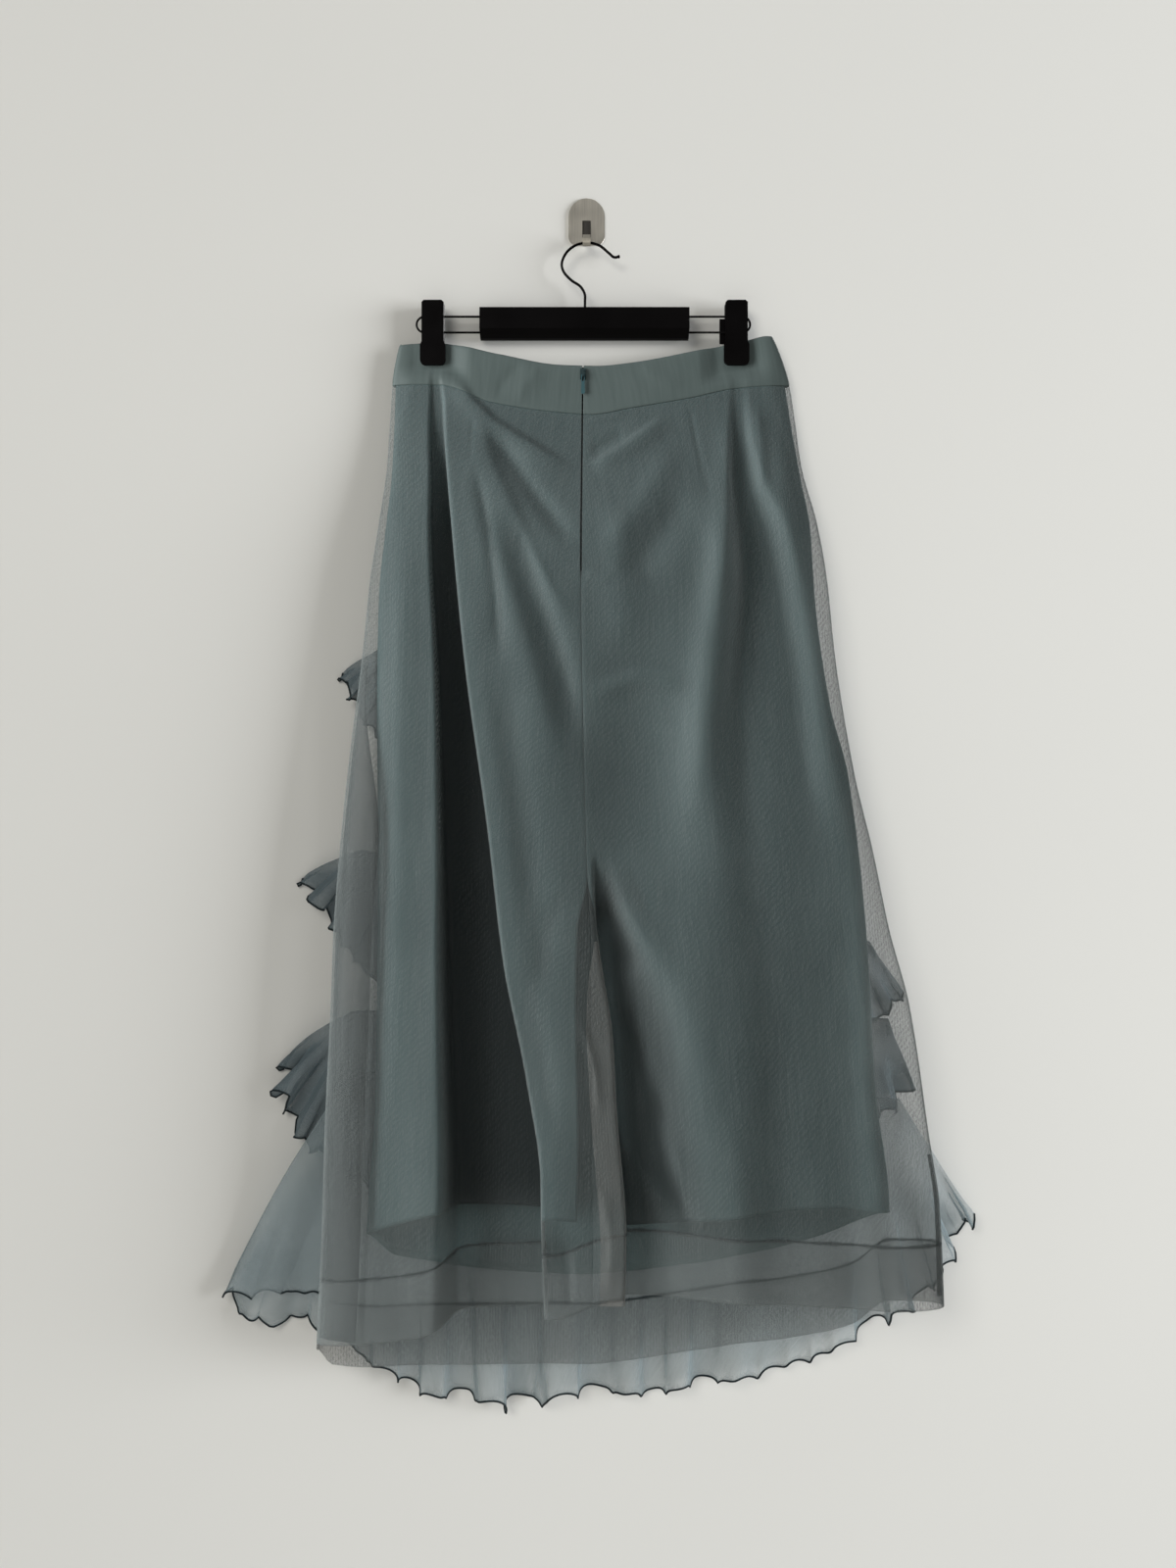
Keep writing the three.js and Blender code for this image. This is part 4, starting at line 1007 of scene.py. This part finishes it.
def flounce_grid(row, columns, rows):
    """A flounce's points: gathered at its seam, in loose folds below, frilled along its edge."""
    fine = np.linspace(-row["wrap"], 1, 4001)
    _, _, edge_x, edge_z, _ = flounce_paths(row, fine)
    travelled = running_total(np.hypot(np.diff(edge_x), np.diff(edge_z)))
    place = np.linspace(0, travelled[-1], columns + 1)
    share = np.interp(place, travelled, fine)
    seam_x, seam_z, edge_x, edge_z, behind = flounce_paths(row, share)
    fall = np.linspace(0, 1, rows + 1)[:, None]
    out_x, out_z = edge_x - seam_x, edge_z - seam_z
    length = np.hypot(out_x, out_z)
    out_x, out_z = out_x / length, out_z / length
    along_x, along_z = -out_z, out_x
    size, calm = row["frill"], row["calm"]
    quiet = np.exp(-place / calm) if calm else 0 * place
    eased = place - 0.6 * calm * (1 - quiet)
    wander = 1.5 * np.sin(eased / (1.3 * size) + 1) + 1.1 * np.sin(eased / (0.57 * size) + 4)
    phase = 2 * math.pi * eased / size + wander
    strong = 1 + 0.4 * np.sin(eased / (1.1 * size) + 2) + 0.3 * np.sin(eased / (0.43 * size))
    strong = strong * (1 - 0.6 * quiet)
    loose = smooth((fall - row["free"]) / (1 - row["free"]))
    small = 2 * math.pi * place / (0.36 * size) + 1.9 * np.sin(place / size)
    curl = smooth((fall - 0.86) / 0.14)
    sway = -0.045 * size * np.sin(2 * phase) * strong * loose
    sway = sway + 0.03 * size * curl * np.sin(small + 1)
    teeth = 1 - np.abs(np.sin(phase)) ** 0.7
    reach = (0.13 * teeth + 0.05 * np.sin(0.5 * phase + 1)) * size * strong * loose**2
    reach = reach + 0.025 * size * curl * np.sin(small)
    ends = np.exp(-(1 - share) / 0.05) + (0 if calm else 1.4) * np.exp(-np.abs(share) / 0.045)
    crimped = ends * loose**2
    crimp = 2 * math.pi * place / 21 + 0.8 * np.sin(place / 13)
    reach = reach + 6 * crimped * np.sin(crimp)
    sway = sway + 3 * crimped * np.sin(2 * crimp)
    bulge = row["bulge"] * length[0] * np.exp(-np.abs(share) / 0.06) * np.sin(math.pi * fall)
    x = seam_x + (edge_x - seam_x) * fall + along_x * sway + out_x * reach - bulge
    z = seam_z + (edge_z - seam_z) * fall + along_z * sway + out_z * reach
    seam_y = form_depth(OVERLAY, "front", seam_x, seam_z) + SHEER + GAP
    flat = mix(seam_y, ring["front"](z) + 2, smooth(fall * 3))
    slow = 2.2 * np.sin(place / (0.31 * size) + 1.4 * np.sin(place / (0.8 * size))) * fall
    hanging = -row["wall"] + 4 * behind + row["depth"] * strong * np.sin(phase)
    hanging = hanging + 0.03 * size * curl * np.cos(small) + 4 * crimped * np.cos(crimp)
    y = mix(flat, hanging, loose) + slow * (1 - loose)
    gathers = np.sin(2 * math.pi * place / 9 + 2 * np.sin(place / 37))
    y = y + 0.6 * gathers * np.exp(-fall * 5) * (1 - np.exp(-fall * 60))
    return np.stack([x, np.minimum(y, -1.3), z], axis=-1)


def flounce(name):
    numbers, size, drops = FLOUNCES[name]
    row = dict(zip(FLOUNCE_NUMBERS, numbers), **curves(table("share drop turn", drops), "share"))
    # The upper tiers take the darker chiffon, which has shade painted into its colour.
    look = LOOKS["flounce" if name == "flounce_hem" else "ruffle"]
    grid = flounce_grid(row, *size)
    piece = mount(shell(name + "_cloth", grid, SHEER, look), [name])
    edge = mount(tube(name + "_edge", grid[-1], EDGE_RADIUS, LOOKS["thread"], 6))
    return piece, edge


# ---------------- hem stitching and seams


THREAD_RADIUS = 0.4
STRIP_CLOTH = 0.4


def overlocked(name, line, width, pitch):
    """A serged edge: a zigzag of thread, this wide, along a line of points."""
    travelled = running_total(np.linalg.norm(np.diff(line, axis=0), axis=1))
    count = int(travelled[-1] / pitch)
    place = np.linspace(0, travelled[-1], count * 4 + 1)
    points = np.stack([np.interp(place, travelled, line[:, i]) for i in range(3)], axis=1)
    phase = np.arange(len(points)) * math.pi / 2
    uneven = 1 + 0.3 * np.sin(place / 7.0) + 0.2 * np.sin(place / 2.3)
    points[:, 2] += width / 2 * np.sin(phase) * uneven
    out = np.cross(np.gradient(points, axis=0), [0, 0, 1.0])
    out /= np.linalg.norm(out, axis=1, keepdims=True).clip(1e-9)
    points += out * (0.35 * np.cos(phase))[:, None]
    mount(tube(name, points, THREAD_RADIUS, LOOKS["thread"], 4))


def seam_strip(ends, edge, width, top, bottom):
    """A seam allowance: a narrow strip inside the overlay's back, beside a side seam. It is darker
    than the net, which paints shade there as well.
    """
    rows = np.linspace(top, bottom, 40)[:, None]
    across = np.linspace(0, 1, 4)[None, :]
    inwards = 1 if ends == "left" else -1
    width = mix(3, width, smooth((top - rows) / 170))
    x = ring[ends](rows) + inwards * (edge + width * across)
    z = rows + 0 * across
    y = form_depth(OVERLAY, "back", x, z) + (HEM_SPACE + 1)
    grid = np.stack([x, y, z], axis=-1)
    mount(shell(f"seam_strip_{ends}", grid, STRIP_CLOTH, LOOKS["seam"]))


FLAP_TOP, FLAP_BOTTOM = -668, -986


def flap_fold():
    """Where the overlay is doubled, beside the free edge that hangs over the centre fold."""
    rows = np.linspace(FLAP_TOP, FLAP_BOTTOM, 130)[:, None]
    lip = centre_valley["x"](rows) - centre_valley["floor"](rows) - centre_valley["left"](rows)
    width = 2 + 16 * smooth((-650 - rows) / 110)
    x = lip + 1.5 - width * np.linspace(1, 0, 12)[None, :]
    z = rows + 0 * x
    y = form_depth(OVERLAY, "back", x, z) + SHEER + GAP
    grid = np.stack([x + lip_shift(x, z), y, z], axis=-1)
    mount(shell("flap_fold", grid, SHEER, LOOKS["flap"]))


# ---------------- the zip

ZIP_HALF_WIDTH = 6.5


def zip_line(offset):
    """Points down the zip's tape, behind the band and the lining, this far beside its seam."""
    z = mix(ZIP_TOP, ZIP_BOTTOM - 6, np.linspace(0, 1, 60))
    x = centre_back(z) + offset
    below = smooth((-180 - z) / 14)
    behind_band = band_depth("back", x, z) + BAND_CLOTH / 2 + 0.5
    behind_lining = form_depth(LINING, "back", x, z) + SATIN / 2 + 0.5
    return np.stack([x, mix(behind_band, behind_lining, below), z], axis=-1)


def zip_tape():
    lines = [zip_line(offset) for offset in np.linspace(-ZIP_HALF_WIDTH, ZIP_HALF_WIDTH, 9)]
    tape = shell("zip_tape_cloth", np.stack(lines, axis=1), 0.5, LOOKS["tape"])
    mount(tape, ["zip_tape"])


# ---------------- the hanger and the plate

HOOK_PLACES = [
    (31, -37.2), (25.5, -38), (20.5, -34), (12, -27.2), (1, -24.4), (-10, -26.8), (-18.5, -33.5),
    (-23, -43.5), (-21, -52), (-14, -59.5), (-6, -65), (-1.8, -72), (-1.5, -79), (-1.5, -87),
]
BAR_LEFT, BAR_RIGHT = -99, 95
WIRE_TOP, WIRE_BOTTOM = -93.3, -108


HOOK_RADIUS = 1.25
HOOK_TIP = (0.9, 1.6, 1.75, 1.5)  # radii at the wire's first points: a small ball


def hanger_hook():
    line = spline([(x, HANGER_Y, z) for x, z in HOOK_PLACES], 10)
    radius = np.full(len(line), HOOK_RADIUS)
    radius[: len(HOOK_TIP)] = HOOK_TIP
    piece = tube("hook_wire", line, radius, LOOKS["wire"], 14)
    mount(piece, ["hanger_hook"])


def frame_wire(name, end, side, root):
    """One side of the hanger's frame: out from the bar, round a half circle, and back."""
    radius = (WIRE_TOP - WIRE_BOTTOM) / 2
    angle = np.linspace(math.pi / 2, -math.pi / 2, 17)
    x = end - side * radius + side * radius * np.cos(angle)
    z = (WIRE_TOP + WIRE_BOTTOM) / 2 + radius * np.sin(angle)
    turn = np.stack([x, np.full(len(x), HANGER_Y), z], axis=-1)
    line = np.concatenate([[(root, HANGER_Y, WIRE_TOP)], turn, [(root, HANGER_Y, WIRE_BOTTOM)]])
    mount(tube(name + "_round", line, 1, LOOKS["wire"], 12), [name])


# The CAD nodes that are shown as they are, by finish.
FINISHES = {
    "black": [
        "hanger_bar", "clip_left_front", "clip_left_back", "clip_right_front", "clip_right_back",
    ],
    "steel": ["wall_plate"],
    "slider": ["zip_slider"],
    "pull": ["zip_pull"],
}
# A small dark patch behind the plate's slot, so that the slot shows dark.
SLOT_BACKING = ((-4, -0.5, -14.5), (4, -0.05, 1))

# ---------------- building the skirt

# The parts of the band, the overlay and the lining: their side of the skirt, and where they end.
PARTS = {
    "front": ("front", "both"),
    "back_left": ("back", "left"),
    "back_right": ("back", "right"),
}
BACK_COLUMNS = 110
for panel, front_columns in ((band_piece, 160), (overlay_panel, 130), (lining_panel, 90)):
    for place, (side, ends) in PARTS.items():
        panel(place, side, ends, front_columns if side == "front" else BACK_COLUMNS)
FRILLED = []
for name in FLOUNCES:
    FRILLED += flounce(name)
for ends in ("left", "right"):
    line = hem_line("back", ends, BACK_COLUMNS)
    overlocked(f"hem_thread_back_{ends}", line, width=3.4, pitch=1.3)
overlocked("hem_thread_front", hem_line("front", "both", 200), width=3, pitch=1.6)
seam_strip("left", edge=3, width=34, top=-420, bottom=-1022)
seam_strip("right", edge=2, width=6, top=-860, bottom=-985)
flap_fold()
zip_tape()
hanger_hook()
frame_wire("hanger_wire_left", end=-158, side=-1, root=BAR_LEFT)
frame_wire("hanger_wire_right", end=152, side=1, root=BAR_RIGHT)
mount(slab("plate_slot_backing", *SLOT_BACKING, 0.1, LOOKS["foam"]))
for finish, nodes in FINISHES.items():
    for node in nodes:
        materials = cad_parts[node].data.materials
        materials.clear()
        materials.append(LOOKS[finish])

# ---------------- stage, light and camera


def paint_look(name, colour, roughness=0.9):
    """Matt paint, very slightly uneven."""
    look = Look(name)
    place = look.add("TexCoord").outputs["Object"]
    cloud = look.noise(place, 1.2, 2)
    tone = look.range(cloud, 0.35, 0.65)
    look.set(Base_Color=look.blend(tone, colour, scaled(colour, 1.02)), Roughness=roughness)
    return look


def one_sided(look):
    """The wall shows only from its front, so that the skirt can be seen from behind it."""
    back = look.add("NewGeometry").outputs["Backfacing"]
    clear = look.add("BsdfTransparent").outputs[0]
    both = look.add("MixShader", {0: back, 1: look.shader.outputs[0], 2: clear}).outputs[0]
    look.tree.links.new(both, look.tree.nodes["Material Output"].inputs["Surface"])
    return look.material


FLOOR_Z, WALL_TOP, WALL_Y = -1.62, 4, 0.001
REACH = 6


def plane(name, near, far, material):
    """A wide rectangle between two lines along X, each at a place (y, z)."""
    mesh = bpy.data.meshes.new(name)
    corners = [(-REACH, *near), (REACH, *near), (REACH, *far), (-REACH, *far)]
    mesh.from_pydata(corners, [], [(0, 1, 2, 3)])
    mesh.materials.append(material)
    piece = link_object(name, mesh)
    return piece


wall_paint = one_sided(paint_look("wall_paint", linear(222, 222, 219)))
wall = plane("wall", (WALL_Y, FLOOR_Z), (WALL_Y, WALL_TOP), wall_paint)
for ray in ("diffuse", "glossy", "transmission", "shadow"):
    setattr(wall, f"visible_{ray}", False)
floor_paint = paint_look("floor_paint", linear(222, 221, 217)).material
floor = plane("floor", (-REACH, FLOOR_Z), (REACH, FLOOR_Z), floor_paint)
SKIRT_MIDDLE = (0, -0.05, -0.6)


def area_light(name, place, size, power, state, pieces, colour=(1, 1, 1), aim=SKIRT_MIDDLE):
    """A lit rectangle that reaches only these pieces (INCLUDE), or all but these (EXCLUDE)."""
    data = bpy.data.lights.new(name, "AREA")
    data.shape = "RECTANGLE"
    data.size, data.size_y = size
    data.energy = power
    data.color = colour
    light = link_object(name, data)
    light.location = place
    light.rotation_euler = (Vector(aim) - Vector(place)).to_track_quat("-Z", "Y").to_euler()
    receivers = bpy.data.collections.new(name + "_receivers")
    for piece in pieces:
        receivers.objects.link(piece)
    light.light_linking.receiver_collection = receivers
    for item in receivers.collection_objects:
        item.light_linking.link_state = state


STAGE = [wall, floor]
area_light(
    "key", (-2.8, -1.6, -0.1), (1.5, 2.4), 162, "EXCLUDE", STAGE + FRILLED, (0.99, 0.995, 1)
)
area_light("room", (5.2, -2.1, -0.6), (3.6, 3.2), 445, "INCLUDE", [wall], (0.98, 0.992, 1))
area_light("glow", (4.4, -3, -0.3), (4.2, 3), 190, "INCLUDE", FRILLED)
area_light("fill", (-1.8, -4, 1.3), (2, 2), 70, "INCLUDE", STAGE + FRILLED, (1, 0.97, 0.9))
area_light("above", (0, -1.5, 2.4), (3, 2), 110, "INCLUDE", [floor], aim=(0, -1.5, FLOOR_Z))
area_light("side", (2.6, -0.35, 0.2), (0.6, 1.6), 14, "EXCLUDE", STAGE)
area_light("top", (0.3, -1.6, 1.6), (2, 1.2), 10, "EXCLUDE", STAGE, aim=(0, 0, -0.6))
area_light("rear", (1.4, 2.4, 0.8), (2, 2), 70, "EXCLUDE", STAGE)

scene = bpy.context.scene
world = bpy.data.worlds.new("studio")
scene.world = world
world.use_nodes = True
background = world.node_tree.nodes["Background"]
background.inputs["Color"].default_value = (0.82, 0.83, 0.85, 1)
background.inputs["Strength"].default_value = 0.13

lens = bpy.data.cameras.new("camera")
lens.sensor_width = 36
lens.lens = 33.24
camera = link_object("camera", lens)
camera.location = (0.0013, -1.36, -0.5327)
camera.rotation_euler = (math.pi / 2, 0, 0)
scene.camera = camera
scene.view_settings.view_transform = "Standard"
scene.cycles.transparent_max_bounces = 32
